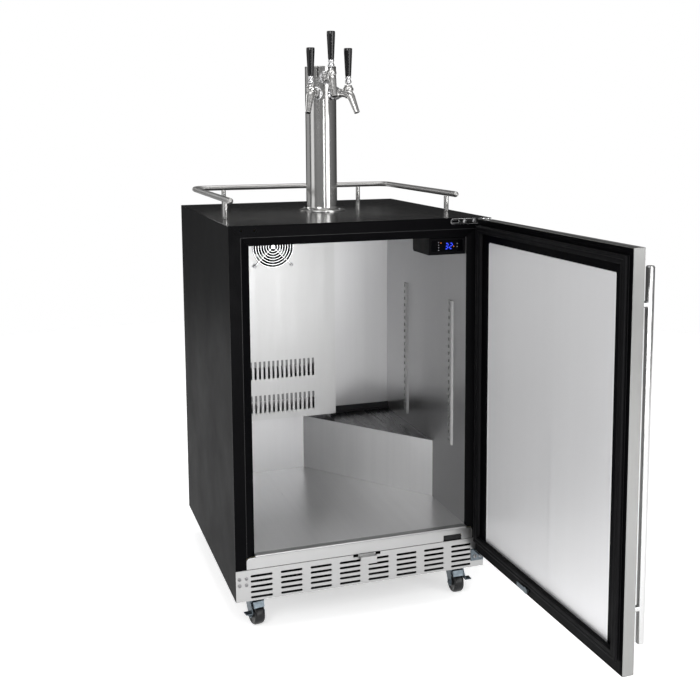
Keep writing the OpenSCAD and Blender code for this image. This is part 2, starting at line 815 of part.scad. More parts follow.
module caster_fork(c) {
    z0 = 59.6;
    color("#aeb2b6") at_caster(c) difference() {
        union() {
            translate([0, 0, z0]) cylinder(r = 22, h = caster_top - 0.4 - z0);
            for (side = [-1, 1]) translate([0, side * (fork_in + fork_t / 2), 0])
                rotate([90, 0, 0]) linear_extrude(fork_t, center = true) fork_side();
            translate([caster_trail, -fork_in - fork_t - 4, wheel_r]) rotate([-90, 0, 0])
                cylinder(r = axle_r, h = 2 * (fork_in + fork_t + 4));
            for (side = [0, 1]) mirror([0, side, 0])
                translate([caster_trail, fork_in + fork_t - 0.1, wheel_r])
                    rotate([-90, 0, 0]) cylinder(r = 6, h = 3, $fn = 6);
        }
        translate([0, 0, z0 - 2]) cylinder(r = king_r + run_gap, h = 20);
        translate([brake_s, -30, brake_z]) rotate([-90, 0, 0]) cylinder(r = 2 + run_gap, h = 60);
    }
}

module caster_wheel(c) {
    w = wheel_w / 2;
    color("#101012") at_caster(c) translate([caster_trail, 0, wheel_r]) rotate([90, 0, 0]) rotate_extrude()
        polygon([
            [axle_r + run_gap, -w], [8, -w], [8, -w + 2], [18, -w + 2], [18, -w + 1],
            [21.5, -w + 0.5], [24, -w + 3], [wheel_r, -w + 7], [wheel_r, w - 7],
            [24, w - 3], [21.5, w - 0.5], [18, w - 1], [18, w - 2], [8, w - 2], [8, w],
            [axle_r + run_gap, w]
        ]);
}

// Brake shoe over the tread on a pin through the fork, worked by an arm with a foot tab outside it
module caster_brake(c) {
    pin = fork_in + fork_t + 0.5;
    arm_t = 2;
    tab_l = 14;
    color("#c3c8cd") at_caster(c) {
        translate([brake_s, -pin, brake_z]) rotate([-90, 0, 0]) cylinder(r = 2, h = 2 * pin);
        rotate([90, 0, 0]) linear_extrude(2 * fork_in - 1, center = true) polygon([
            [brake_s - 5, brake_z - 3], [brake_s, brake_z + 2], [31, 57], [36, 44.5],
            [33, 46], [27, 49.2], [brake_s, 51.2]
        ]);
        mirror([0, c[4] > 0 ? 0 : 1, 0]) {
            translate([0, pin + arm_t - 0.1, 0]) rotate([90, 0, 0]) linear_extrude(arm_t) polygon([
                [brake_s - 4, brake_z - 3], [brake_s - 3, brake_z + 4], [brake_s + 3, brake_z + 4],
                [brake_s + 6, brake_z - 3], [38, 38], [38, 34], [23, 34], [23, 38]
            ]);
            block([22, pin, 34], [39, pin + arm_t + tab_l, 36]);
        }
    }
}

module caster_fork_fl() { caster_fork(casters[0]); }
module caster_fork_fr() { caster_fork(casters[1]); }
module caster_fork_rl() { caster_fork(casters[2]); }
module caster_fork_rr() { caster_fork(casters[3]); }
module caster_wheel_fl() { caster_wheel(casters[0]); }
module caster_wheel_fr() { caster_wheel(casters[1]); }
module caster_wheel_rl() { caster_wheel(casters[2]); }
module caster_wheel_rr() { caster_wheel(casters[3]); }
module caster_brake_fl() { caster_brake(casters[0]); }
module caster_brake_fr() { caster_brake(casters[1]); }

// ---------- nodes ----------

side_panels();
top_panel();
rear_panel();
base_pan();
cabinet_foam();
liner_walls();
liner_ceiling();
liner_floor();
front_frame();
sill_strip();
lower_panel();
toe_grille();
compressor_cover();
evaporator_cover();
evaporator_coil();
fan_guard();
evaporator_fan_frame();
evaporator_fan();
controller_housing();
shelf_standards();
compressor();
condenser();
condenser_fan();
lock_strike();
top_hinge();
bottom_hinge();
cover_screws();
guard_rail();
rail_posts();
tower_column();
tower_cap();
faucet_shanks();
faucet_bodies();
door_sensor();
power_gland();
lever_left();
lever_centre();
lever_right();
tap_handle_left();
tap_handle_centre();
tap_handle_right();
door_skin();
door_frame();
door_inner_panel();
door_gasket();
door_foam();
door_handle();
lock_barrel();
lock_cam();
caster_plates();
caster_fork_fl();
caster_fork_fr();
caster_fork_rl();
caster_fork_rr();
caster_wheel_fl();
caster_wheel_fr();
caster_wheel_rl();
caster_wheel_rr();
caster_brake_fl();
caster_brake_fr();
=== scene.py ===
# A three-faucet undercounter kegerator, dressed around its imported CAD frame. Metres, +Z up, front towards -Y.
import json
import math
import bmesh
import bpy
from mathutils import Matrix, Vector

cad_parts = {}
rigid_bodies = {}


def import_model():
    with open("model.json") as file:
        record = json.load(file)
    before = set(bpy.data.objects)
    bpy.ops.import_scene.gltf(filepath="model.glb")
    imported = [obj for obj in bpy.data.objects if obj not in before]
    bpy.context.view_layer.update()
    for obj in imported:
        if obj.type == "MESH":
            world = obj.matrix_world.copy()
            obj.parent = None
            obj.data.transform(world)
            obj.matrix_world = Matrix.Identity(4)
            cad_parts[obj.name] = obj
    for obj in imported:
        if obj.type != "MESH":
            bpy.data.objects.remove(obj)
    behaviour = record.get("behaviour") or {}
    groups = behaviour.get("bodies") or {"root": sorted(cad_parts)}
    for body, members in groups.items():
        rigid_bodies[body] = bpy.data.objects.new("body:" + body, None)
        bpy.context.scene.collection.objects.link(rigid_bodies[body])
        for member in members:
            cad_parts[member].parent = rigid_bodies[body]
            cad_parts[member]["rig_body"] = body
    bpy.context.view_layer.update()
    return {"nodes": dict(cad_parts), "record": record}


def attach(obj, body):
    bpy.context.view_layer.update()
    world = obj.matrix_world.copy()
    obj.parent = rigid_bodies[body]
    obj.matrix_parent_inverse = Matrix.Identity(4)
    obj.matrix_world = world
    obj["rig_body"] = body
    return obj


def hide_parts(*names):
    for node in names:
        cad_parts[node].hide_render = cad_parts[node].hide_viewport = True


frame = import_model()
NODES = frame["nodes"]
SLOT = {s["node"]: s["material_slot"] for s in frame["record"]["subparts"]}

# Cabinet: half width, front and rear faces and top, then the bay's half width and ceiling
HALF_W = 0.300
FRONT = -0.310
BACK = 0.310
TOP = 0.912
BAY_X = 0.255
CEIL = 0.867

# Door: hinge axis, opening angle, inner face, gasket and inner panel as the door stands when shut
HINGE = Vector((0.2865, -0.3355, 0.0))
DOOR_ANGLE = math.radians(91)
DOOR_IN = FRONT - 0.013
SEAL_Z = (0.1495, 0.895)
SEAL_X = 0.290
VIEW_X = 0.247
VIEW_Z = (0.160, 0.860)
ON_DOOR = Matrix.Translation(HINGE) @ Matrix.Rotation(DOOR_ANGLE, 4, "Z") @ Matrix.Translation(-HINGE)

# Evaporator cover's face, with its fan's axis
EVAP_Y = FRONT + 0.480
FAN = Vector((-0.085, EVAP_Y, 0.806))

# Taps: distance of the lever's pivot from the tower's axis, height of the middle one, (angle, drop) of each
TAP_R = 0.088
MID_TAP_Z = TOP + 0.352 - 0.028
TAPS = {"left": (-32.0, 0.038), "centre": (0.0, 0.0), "right": (32.0, 0.038)}

# Casters: x, y and heading in degrees
CASTERS = {
    "fl": (-0.248, -0.248, 280),
    "fr": (0.248, -0.248, 270),
    "rl": (-0.248, 0.248, 80),
    "rr": (0.248, 0.248, 60),
}

# Turns that face a piece made along +Z out of the front, out of the rear, or leave it up
FACE_OUT = Matrix.Rotation(math.radians(90), 4, "X")
BACK_OUT = Matrix.Rotation(math.radians(-90), 4, "X")
FACE_UP = Matrix.Identity(4)


# ---------- materials ----------

class Look:
    """A node material: a Principled surface with helpers for grain, wear and bump."""

    def __init__(self, name, color, metallic=0.0, roughness=0.5, **sockets):
        self.mat = bpy.data.materials.new(name)
        self.mat.use_nodes = True
        self.tree = self.mat.node_tree
        self.bsdf = self.tree.nodes["Principled BSDF"]
        self.set("Base Color", (*color, 1.0))
        self.set("Metallic", metallic)
        self.set("Roughness", roughness)
        for key, value in sockets.items():
            self.set(key.replace("_", " "), value)
        self.color = color

    def set(self, socket, value):
        self.bsdf.inputs[socket].default_value = value

    def node(self, kind, **props):
        n = self.tree.nodes.new(kind)
        for key, value in props.items():
            setattr(n, key, value)
        return n

    def link(self, a, b):
        self.tree.links.new(a, b)

    def coords(self, scale):
        tex = self.node("ShaderNodeTexCoord")
        mapping = self.node("ShaderNodeMapping")
        mapping.inputs["Scale"].default_value = scale
        self.link(tex.outputs["Object"], mapping.inputs["Vector"])
        return mapping.outputs["Vector"]

    def noise(self, scale, detail=3.0, rough=0.5, stretch=(1, 1, 1)):
        n = self.node("ShaderNodeTexNoise")
        n.inputs["Scale"].default_value = scale
        n.inputs["Detail"].default_value = detail
        n.inputs["Roughness"].default_value = rough
        self.link(self.coords(stretch), n.inputs["Vector"])
        return n.outputs["Fac"]

    def remap(self, value, lo, hi, low=0.3, high=0.7):
        m = self.node("ShaderNodeMapRange")
        m.inputs["From Min"].default_value = low
        m.inputs["From Max"].default_value = high
        m.inputs["To Min"].default_value = lo
        m.inputs["To Max"].default_value = hi
        self.link(value, m.inputs["Value"])
        return m.outputs["Result"]

    def math(self, op, a, b):
        m = self.node("ShaderNodeMath", operation=op)
        for socket, v in zip(m.inputs, (a, b)):
            if isinstance(v, (int, float)):
                socket.default_value = v
            else:
                self.link(v, socket)
        return m.outputs[0]

    def rough_from(self, value):
        self.link(value, self.bsdf.inputs["Roughness"])

    def tint(self, value, dark, light):
        """Base colour between dark and light times the look's own colour."""
        mix = self.node("ShaderNodeMix", data_type="RGBA")
        mix.inputs[6].default_value = (*[c * dark for c in self.color], 1)
        mix.inputs[7].default_value = (*[min(1, c * light) for c in self.color], 1)
        self.link(value, mix.inputs[0])
        self.link(mix.outputs[2], self.bsdf.inputs["Base Color"])

    def relief(self, value, strength, distance):
        b = self.node("ShaderNodeBump")
        b.inputs["Strength"].default_value = strength
        b.inputs["Distance"].default_value = distance
        self.link(value, b.inputs["Height"])
        self.link(b.outputs["Normal"], self.bsdf.inputs["Normal"])


def brushed(name, color, grain, rough, fine=900.0, bump=0.10, cloud=0.045, aniso=0.0, metal=1.0, streak=0.4):
    """Brushed stainless: fine streaks and wider bands along the grain, soft cloudiness and handling marks."""
    look = Look(name, color, metallic=metal, roughness=sum(rough) / 2, Anisotropic=aniso)
    stretch = [1.0, 1.0, 1.0]
    stretch["XYZ".index(grain)] = 0.012
    streaks = look.noise(fine, 4, 0.65, stretch)
    broad = look.noise(5.0, 3, 0.5)
    marks = look.noise(38.0, 5, 0.6)
    bands = look.noise(fine * 0.07, 2, 0.5, stretch)
    fine_mix = look.math("ADD", look.math("MULTIPLY", streaks, 0.6), look.math("MULTIPLY", broad, 0.4))
    value = look.math("ADD", look.math("MULTIPLY", fine_mix, 1 - streak),
                      look.math("MULTIPLY", bands, streak))
    rough_mix = look.math("ADD", look.remap(value, rough[0], rough[1]), look.remap(marks, -0.008, 0.012))
    look.rough_from(rough_mix)
    look.tint(look.remap(value, 0, 1), 1 - cloud, 1 + cloud * 0.6)
    look.relief(streaks, bump, 0.00012)
    return look.mat


def polished(name, color, rough):
    """Chrome or polished steel with a slight water-spot haze."""
    look = Look(name, color, metallic=1.0, roughness=rough)
    haze = look.noise(60.0, 4, 0.6)
    look.rough_from(look.remap(haze, rough * 0.6, rough * 1.8))
    look.tint(look.noise(18.0, 3), 0.92, 1.04)
    look.relief(look.noise(420.0, 2), 0.02, 0.0001)
    return look.mat


def paint(name, color, rough, peel, spec=0.5):
    """Powder coat: fine orange peel, faint dust and rub marks."""
    look = Look(name, color, roughness=sum(rough) / 2, Specular_IOR_Level=spec)
    look.rough_from(look.remap(look.noise(7.0, 5, 0.6), rough[0], rough[1]))
    look.tint(look.remap(look.noise(3.0, 4), 0, 1), 0.95, 1.07)
    look.relief(look.noise(650.0, 3, 0.55), peel, 0.00025)
    return look.mat


def moulded(name, color, rough, texture=0.18, size=1400.0, spec=0.5):
    """Moulded plastic or rubber: a fine spark-eroded grain over slow shade changes."""
    look = Look(name, color, roughness=sum(rough) / 2, Specular_IOR_Level=spec)
    look.rough_from(look.remap(look.noise(30.0, 4), rough[0], rough[1]))
    look.tint(look.remap(look.noise(9.0, 4), 0, 1), 0.9, 1.12)
    look.relief(look.noise(size, 2, 0.6), texture, 0.0002)
    return look.mat


def zinc(name, color):
    """Zinc plate: bluish, spangled and a little dull; the colour it is given is darker than real zinc, as
    painted shade.
    """
    look = Look(name, color, metallic=1.0, roughness=0.34)
    cells = look.node("ShaderNodeTexVoronoi")
    cells.inputs["Scale"].default_value = 220.0
    look.link(look.coords((1, 1, 1)), cells.inputs["Vector"])
    look.rough_from(look.remap(cells.outputs["Distance"], 0.26, 0.44, 0.0, 0.8))
    look.tint(look.remap(look.noise(90.0, 4), 0, 1), 0.75, 1.15)
    look.relief(look.noise(500.0, 3), 0.12, 0.0002)
    return look.mat


def glow(name, color, strength):
    """A lit display segment behind its window."""
    look = Look(name, [c * 0.2 for c in color], roughness=0.35,
                Emission_Color=(*color, 1), Emission_Strength=strength)
    look.relief(look.noise(900.0, 2), 0.05, 0.0001)
    return look.mat


def foam_look(name, color):
    """Poured foam: matt, blotchy and open-celled."""
    look = Look(name, color, roughness=0.9)
    look.tint(look.remap(look.noise(120.0, 6, 0.7), 0, 1), 0.7, 1.1)
    look.relief(look.noise(900.0, 5, 0.7), 0.6, 0.0008)
    return look.mat


M = {
    "side_paint": paint("side_paint", (0.0085, 0.0085, 0.009), (0.46, 0.54), 0.08, spec=0.02),
    "top_paint": paint("top_paint", (0.006, 0.006, 0.0065), (0.17, 0.23), 0.004, spec=0.25),
    "frame_black": moulded("frame_black", (0.0015, 0.0015, 0.0019), (0.30, 0.38), 0.05, spec=0.025),
    # lip: a lighter black than frame_black, a painted highlight along the frame's edge line
    "lip": moulded("lip", (0.009, 0.009, 0.0095), (0.3, 0.4), 0.02, spec=0.2),
    "liner_side": brushed("liner_side", (0.49, 0.49, 0.495), "Z", (0.27, 0.36), aniso=0.6),
    "liner_floor": brushed("liner_floor", (0.76, 0.76, 0.76), "Y", (0.26, 0.38),
                           metal=0.9, cloud=0.08, streak=0.3),
    "cover": brushed("cover", (0.47, 0.47, 0.47), "Z", (0.34, 0.42), aniso=0.5, metal=0.85),
    # hump and hump_top are light and dark copies of the cover's one stainless: painted light on its front,
    # painted shade on its top
    "hump": brushed("hump", (0.90, 0.90, 0.905), "Z", (0.36, 0.46), aniso=0.5, metal=0.75),
    "hump_top": brushed("hump_top", (0.10, 0.10, 0.102), "Y", (0.22, 0.32)),
    "trim_h": brushed("trim_h", (0.42, 0.42, 0.42), "X", (0.28, 0.38), fine=1300.0),
    "door_skin": brushed("door_skin", (0.30, 0.30, 0.295), "Z", (0.27, 0.36), aniso=0.6),
    "door_liner": brushed("door_liner", (0.84, 0.84, 0.85), "Z", (0.40, 0.46),
                          bump=0.02, cloud=0.015, aniso=0.4, metal=0.6),
    "tower": brushed("tower", (0.54, 0.535, 0.527), "Z", (0.13, 0.18), fine=1500.0, cloud=0.03),
    "rail": brushed("rail", (0.44, 0.435, 0.427), "X", (0.36, 0.44), fine=1500.0, bump=0.04),
    "bar": brushed("bar", (0.55, 0.55, 0.55), "Z", (0.16, 0.24), fine=1500.0, bump=0.04),
    "chrome": polished("chrome", (0.66, 0.66, 0.67), 0.09),
    "satin": polished("satin", (0.56, 0.555, 0.545), 0.2),
    "handle_black": moulded("handle_black", (0.006, 0.006, 0.0065), (0.08, 0.14), 0.01),
    "gasket": moulded("gasket", (0.004, 0.004, 0.0045), (0.42, 0.58), 0.1, 1100.0, 0.05),
    "plastic": moulded("plastic", (0.008, 0.008, 0.009), (0.34, 0.5), spec=0.2),
    "housing": moulded("housing", (0.0025, 0.0025, 0.003), (0.3, 0.42), spec=0.04),
    "window": moulded("window", (0.001, 0.001, 0.0015), (0.08, 0.12), 0.0, spec=0.03),
    "digits": glow("digits", (0.02, 0.06, 1.0), 1.5),
    "amber": glow("amber", (1.0, 0.26, 0.03), 1.3),
    "legend": moulded("legend", (0.22, 0.22, 0.24), (0.4, 0.5), 0.0),
    "foam": foam_look("foam", (0.80, 0.70, 0.42)),
    # Coil fins near black instead of aluminium: painted shade behind the louvres
    "fins_painted_shade": brushed("fins_painted_shade", (0.09, 0.092, 0.095), "Z", (0.3, 0.4)),
    "screw": polished("screw", (0.30, 0.30, 0.305), 0.26),
    # Zinc colour darker than real zinc plate: painted shade on the zinc parts
    "zinc": zinc("zinc", (0.13, 0.155, 0.175)),
    "tread": moulded("tread", (0.003, 0.0035, 0.004), (0.24, 0.34), 0.06, spec=0.3),
    "enamel": paint("enamel", (0.012, 0.012, 0.013), (0.14, 0.24), 0.06),
    # Darker grey for the strips behind the louvres: painted shade
    "louvre_painted_shade": brushed("louvre_painted_shade", (0.14, 0.14, 0.142), "Z", (0.34, 0.42)),
    # Near black for slots and openings that are only in shade: painted shade
    "dark_slot": moulded("dark_slot", (0.004, 0.004, 0.004), (0.5, 0.7)),
}


# ---------- mesh helpers ----------

def add(name, verts, faces, body, slot, mat, place=None, sharp=35.0):
    """A finished piece from vertices and faces, riding on a CAD body."""
    mesh = bpy.data.meshes.new(name)
    mesh.from_pydata([tuple(v) for v in verts], [], faces)
    if place is not None:
        mesh.transform(place)
    bm = bmesh.new()
    bm.from_mesh(mesh)
    bmesh.ops.remove_doubles(bm, verts=bm.verts, dist=1e-6)
    bmesh.ops.recalc_face_normals(bm, faces=bm.faces)
    bm.to_mesh(mesh)
    bm.free()
    mesh.shade_smooth()
    mesh.set_sharp_from_angle(angle=math.radians(sharp))
    mesh.materials.append(M[mat])
    obj = bpy.data.objects.new(name, mesh)
    bpy.context.scene.collection.objects.link(obj)
    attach(obj, body)
    return obj


def circle(radius, z, seg, count=None):
    """Points round Z, seg of them to a full turn, or the first count of them."""
    angles = [2 * math.pi * i / seg for i in range(count or seg)]
    return [(radius * math.cos(a), radius * math.sin(a), z) for a in angles]


def skin(rings, sides, closed=False):
    """Quads between rings of sides vertices each, and from the last ring to the first if closed."""
    faces = []
    for k in range(rings if closed else rings - 1):
        m = (k + 1) % rings
        for i in range(sides):
            j = (i + 1) % sides
            faces.append((k * sides + i, k * sides + j, m * sides + j, m * sides + i))
    return faces


def lathe(profile, seg=48):
    """Vertices and faces of (radius, height) points turned about Z. A radius of 0 closes an end."""
    verts, faces, rings = [], [], []
    for r, z in profile:
        if r < 1e-7:
            rings.append([len(verts)])
            verts.append((0, 0, z))
        else:
            rings.append(list(range(len(verts), len(verts) + seg)))
            verts += circle(r, z, seg)
    for a, b in zip(rings, rings[1:]):
        for i in range(seg):
            j = (i + 1) % seg
            if len(a) == 1 and len(b) == 1:
                continue
            if len(a) == 1:
                faces.append((a[0], b[i], b[j]))
            elif len(b) == 1:
                faces.append((a[i], b[0], a[j]))
            else:
                faces.append((a[i], b[i], b[j], a[j]))
    return verts, faces


def rounded(profile, radius, steps=3):
    """The same profile with its corners rounded off by about the given radius."""
    out = [profile[0]]
    for p, q, s in zip(profile, profile[1:], profile[2:]):
        p, q, s = Vector(p), Vector(q), Vector(s)
        a, b = (p - q), (s - q)
        ra = min(radius, a.length * 0.45)
        rb = min(radius, b.length * 0.45)
        if ra < 1e-6 or rb < 1e-6 or abs(a.angle(b) - math.pi) < 0.15:
            out.append(tuple(q))
            continue
        p0, p1 = q + a.normalized() * ra, q + b.normalized() * rb
        for i in range(steps + 1):
            t = i / steps
            out.append(tuple((1 - t) ** 2 * p0 + 2 * t * (1 - t) * q + t * t * p1))
    out.append(profile[-1])
    return out


def merged(*parts):
    """Several (vertices, faces) parts as one."""
    verts, faces = [], []
    for v, f in parts:
        base = len(verts)
        verts += [tuple(x) for x in v]
        faces += [tuple(i + base for i in face) for face in f]
    return verts, faces


def moved(part, matrix):
    """A part with its vertices carried by a matrix."""
    return [tuple(matrix @ Vector(v)) for v in part[0]], part[1]


def tube(points, radii, seg=20, capped=True):
    """A round tube along points, with one radius or one for each point."""
    pts = [Vector(p) for p in points]
    if isinstance(radii, (int, float)):
        radii = [radii] * len(pts)
    tangents = [(pts[min(i + 1, len(pts) - 1)] - pts[max(i - 1, 0)]).normalized() for i in range(len(pts))]
    ref = Vector((0, 0, 1)) if abs(tangents[0].z) < 0.9 else Vector((0, 1, 0))
    side = tangents[0].cross(ref).normalized()
    verts = []
    for p, t, r in zip(pts, tangents, radii):
        side = (side - t * side.dot(t)).normalized()
        up = t.cross(side)
        for i in range(seg):
            a = 2 * math.pi * i / seg
            verts.append(p + r * (side * math.cos(a) + up * math.sin(a)))
    faces = skin(len(pts), seg)
    if capped:
        faces.append(tuple(reversed(range(seg))))
        faces.append(tuple((len(pts) - 1) * seg + i for i in range(seg)))
    return verts, faces


def arc(centre, u, v, radius, a0, a1, steps):
    """Points from angle a0 to a1 in the plane of u and v."""
    centre, u, v = Vector(centre), Vector(u), Vector(v)
    return [centre + radius * (u * math.cos(a) + v * math.sin(a))
            for a in (a0 + (a1 - a0) * i / steps for i in range(steps + 1))]


def frame_sweep(profile, x0, x1, z0, z1, y0):
    """A profile of (inwards, outwards) points swept round a rectangle in XZ with mitred corners.
    Inwards runs from the outer edge to the middle, outwards along +Y from y0."""
    verts = []
    for d, h in profile:
        y = y0 + h
        verts += [(x0 + d, y, z0 + d), (x1 - d, y, z0 + d), (x1 - d, y, z1 - d), (x0 + d, y, z1 - d)]
    return verts, skin(len(profile), 4, closed=True)


def box_part(lo, hi):
    """A block between two corners, as a start for bevels."""
    x0, y0, z0 = lo
    x1, y1, z1 = hi
    v = [(x, y, z) for x in (x0, x1) for y in (y0, y1) for z in (z0, z1)]
    f = [(0, 1, 3, 2), (4, 6, 7, 5), (0, 4, 5, 1), (2, 3, 7, 6), (0, 2, 6, 4), (1, 5, 7, 3)]
    return v, f


def bevelled(obj, width, segments=2, angle=32.0):
    """Rounds the edges that turn by more than angle."""
    m = obj.modifiers.new("edges", "BEVEL")
    m.width = width
    m.segments = segments
    m.limit_method = "ANGLE"
    m.angle_limit = math.radians(angle)
    return obj


def refined(node, mat, width, segments=2, angle=32.0):
    """The CAD node's own shape as a new piece with its sharp edges broken, so that they catch the light."""
    source = NODES[node]
    mesh = source.data.copy()
    bm = bmesh.new()
    bm.from_mesh(mesh)
    bmesh.ops.remove_doubles(bm, verts=bm.verts, dist=2e-6)
    bmesh.ops.dissolve_limit(bm, angle_limit=math.radians(0.6), verts=bm.verts, edges=bm.edges)
    bm.to_mesh(mesh)
    bm.free()
    for stale in [a.name for a in mesh.attributes if a.name.startswith("custom_normal")]:
        mesh.attributes.remove(mesh.attributes[stale])
    mesh.shade_smooth()
    mesh.set_sharp_from_angle(angle=math.radians(angle))
    mesh.materials.clear()
    mesh.materials.append(M[mat])
    obj = bpy.data.objects.new(node + "_finished", mesh)
    bpy.context.scene.collection.objects.link(obj)
    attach(obj, source["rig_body"])
    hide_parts(node)
    return bevelled(obj, width, segments, angle)


def second_finish(obj, mat, wanted):
    """Another finish on the faces for which wanted(face) is true."""
    obj.data.materials.append(M[mat])
    for face in obj.data.polygons:
        if wanted(face):
            face.material_index = 1


def at(x, y, z, rot=FACE_UP):
    """The matrix that turns a part by rot and stands it at a place."""
    return Matrix.Translation((x, y, z)) @ rot


# Every CAD node has a finish of its own, also where a finer piece replaces it
NODE_FINISH = {"foam": "foam", "black_panel": "side_paint", "chrome": "chrome"}
for node, obj in NODES.items():
    obj.data.materials.clear()
    obj.data.materials.append(M[NODE_FINISH.get(SLOT[node], "plastic")])


# ---------- cabinet shell ----------

refined("side_panels", "side_paint", 0.0005)
refined("top_panel", "top_paint", 0.0006)
refined("rear_panel", "side_paint", 0.0004)
refined("base_pan", "side_paint", 0.0006)
refined("front_frame", "frame_black", 0.0006, 2, 20)
refined("sill_strip", "trim_h", 0.0004)

# Raised lip where the frame's flat flange meets its bevelled strip: its edge catches real light, and its
# lighter black than the frame is a painted highlight line
LIP_IN = 0.0255
LIP_W = 0.0012
LIP_Z0 = 0.1765
LIP_Y = (FRONT - 0.0003, FRONT + 0.0004)
lip_x, lip_z = HALF_W - LIP_IN, TOP - LIP_IN
lip_parts = [box_part((-lip_x, LIP_Y[0], lip_z - LIP_W), (lip_x, LIP_Y[1], lip_z))]
for x in (-lip_x, lip_x - LIP_W):
    lip_parts.append(box_part((x, LIP_Y[0], LIP_Z0), (x + LIP_W, LIP_Y[1], lip_z - LIP_W)))
bevelled(add("frame_lip_painted_highlight", *merged(*lip_parts), "cabinet", "black_frame", "lip"), 0.0002)
refined("lower_panel", "trim_h", 0.0007, 3)
refined("toe_grille", "trim_h", 0.0004)
refined("lock_strike", "trim_h", 0.0004)
refined("door_sensor", "plastic", 0.0003)
refined("power_gland", "plastic", 0.0008)
refined("liner_walls", "liner_side", 0.0003)
refined("liner_ceiling", "liner_side", 0.0003)
refined("liner_floor", "liner_floor", 0.0003)
# Faces of the compressor cover that look up take the dark copy as painted shade, the rest the light copy as
# painted light
second_finish(refined("compressor_cover", "hump", 0.0008), "hump_top", lambda face: face.normal.z > 0.9)

# The strips behind the louvres are shaded from the room; their darker grey than the sheet is painted shade
STRIP_Y = (EVAP_Y + 0.0006, EVAP_Y + 0.0030)
second_finish(refined("evaporator_cover", "cover", 0.0005), "louvre_painted_shade",
              lambda face: STRIP_Y[0] < face.center.y < STRIP_Y[1] and face.normal.y < -0.9)

# The wall seen through the slots of the standards is in shade, as thin dark strips stood off the liner
refined("shelf_standards", "cover", 0.0005)
STANDARD_Y = (FRONT + 0.094, FRONT + 0.384)
SLOT_W = 0.0070
SLOT_H = 0.0080
SLOT_PITCH = 0.0176
SLOT_Y0 = 0.0005
SLOT_Z0 = 0.3600
SLOT_COUNT = 20
RECESS_X = (BAY_X - 0.0010, BAY_X - 0.0002)
slot_shades = []
for sx in (-1, 1):
    x0, x1 = sorted(sx * x for x in RECESS_X)
    for y in STANDARD_Y:
        for i in range(SLOT_COUNT):
            z = SLOT_Z0 + i * SLOT_PITCH
            slot_shades.append(box_part((x0, y + SLOT_Y0, z), (x1, y + SLOT_Y0 + SLOT_W, z + SLOT_H)))
add("standard_slot_painted_shade", *merged(*slot_shades), "cabinet", "liner_steel", "dark_slot")

refined("controller_housing", "housing", 0.0012, 3)
refined("top_hinge", "chrome", 0.0004)
refined("bottom_hinge", "zinc", 0.0004)
# The coil takes the near-black fin colour, painted shade seen through the louvres
refined("evaporator_coil", "fins_painted_shade", 0.0001)
refined("evaporator_fan_frame", "plastic", 0.0008)
refined("compressor", "enamel", 0.001)


def screw_head(r, h, cross=0.62, seg=36, rings=9):
    """A domed head with a cross recess, standing on z = 0."""
    verts, faces = [(0, 0, 0)], []
    depth, arm, reach = h * 0.55, r * 0.13, r * cross
    for k in range(1, rings + 1):
        t = k / rings
        for i in range(seg):
            a = 2 * math.pi * i / seg
            x, y = r * t * math.cos(a), r * t * math.sin(a)
            z = h * math.sqrt(max(0.0, 1 - (t * 0.97) ** 2.4))
            in_cross = (abs(x) < arm and abs(y) < reach) or (abs(y) < arm and abs(x) < reach)
            verts.append((x, y, z - depth if in_cross else z))
    verts[0] = (0, 0, h - depth)
    for i in range(seg):
        faces.append((0, 1 + i, 1 + (i + 1) % seg))
    for k in range(rings - 1):
        for i in range(seg):
            j = (i + 1) % seg
            faces.append((1 + k * seg + i, 1 + (k + 1) * seg + i, 1 + (k + 1) * seg + j, 1 + k * seg + j))
    base = len(verts)
    verts += circle(r, 0, seg)
    top = 1 + (rings - 1) * seg
    for i in range(seg):
        j = (i + 1) % seg
        faces.append((top + i, base + i, base + j, top + j))
    faces.append(tuple(base + seg - 1 - i for i in range(seg)))
    return verts, faces


def screw(r, h, x, y, z, facing, turn):
    """A screw head at a place, its cross turned by some radians."""
    return moved(screw_head(r, h), at(x, y, z, facing @ Matrix.Rotation(turn, 4, "Z")))


HINGE_SCREW_Y = FRONT - 0.0025
heads = []
for i, (x, z) in enumerate([(x, z) for x in (-0.2915, -0.276) for z in (0.1145, 0.129)]):
    heads.append(screw(0.0042, 0.0023, x, FRONT, z, FACE_OUT, (i + 1) * 0.7))
for x in (0.2775, 0.291):
    heads.append(screw(0.0048, 0.0026, x, HINGE_SCREW_Y, 0.103, FACE_OUT, x * 90))
for x in (0.244, 0.268):
    heads.append(screw(0.004, 0.0022, x, HINGE_SCREW_Y, 0.9038, FACE_OUT, x * 70))

# Tower flange
FLANGE_SCREW_R = 0.049
for i in range(4):
    a = math.radians(45 + 90 * i)
    x, y = FLANGE_SCREW_R * math.cos(a), FLANGE_SCREW_R * math.sin(a)
    heads.append(screw(0.0034, 0.0022, x, y, TOP + 0.0052, FACE_UP, i * 0.9))
obj = add("cover_screw_heads", *merged(*heads), "cabinet", "chrome", "screw")
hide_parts("cover_screws")

REAR_X = 0.286
REAR_Z = (0.1, 0.3, 0.5, 0.7, 0.895)
rear_places = [(sx * REAR_X, z) for sx in (-1, 1) for z in REAR_Z] + [(0.0, REAR_Z[-1]), (0.0, REAR_Z[0])]
rear = [screw(0.0042, 0.0024, x, BACK, z, BACK_OUT, i * 0.8) for i, (x, z) in enumerate(rear_places)]
add("rear_panel_screws", *merged(*rear), "cabinet", "black_enamel", "enamel")

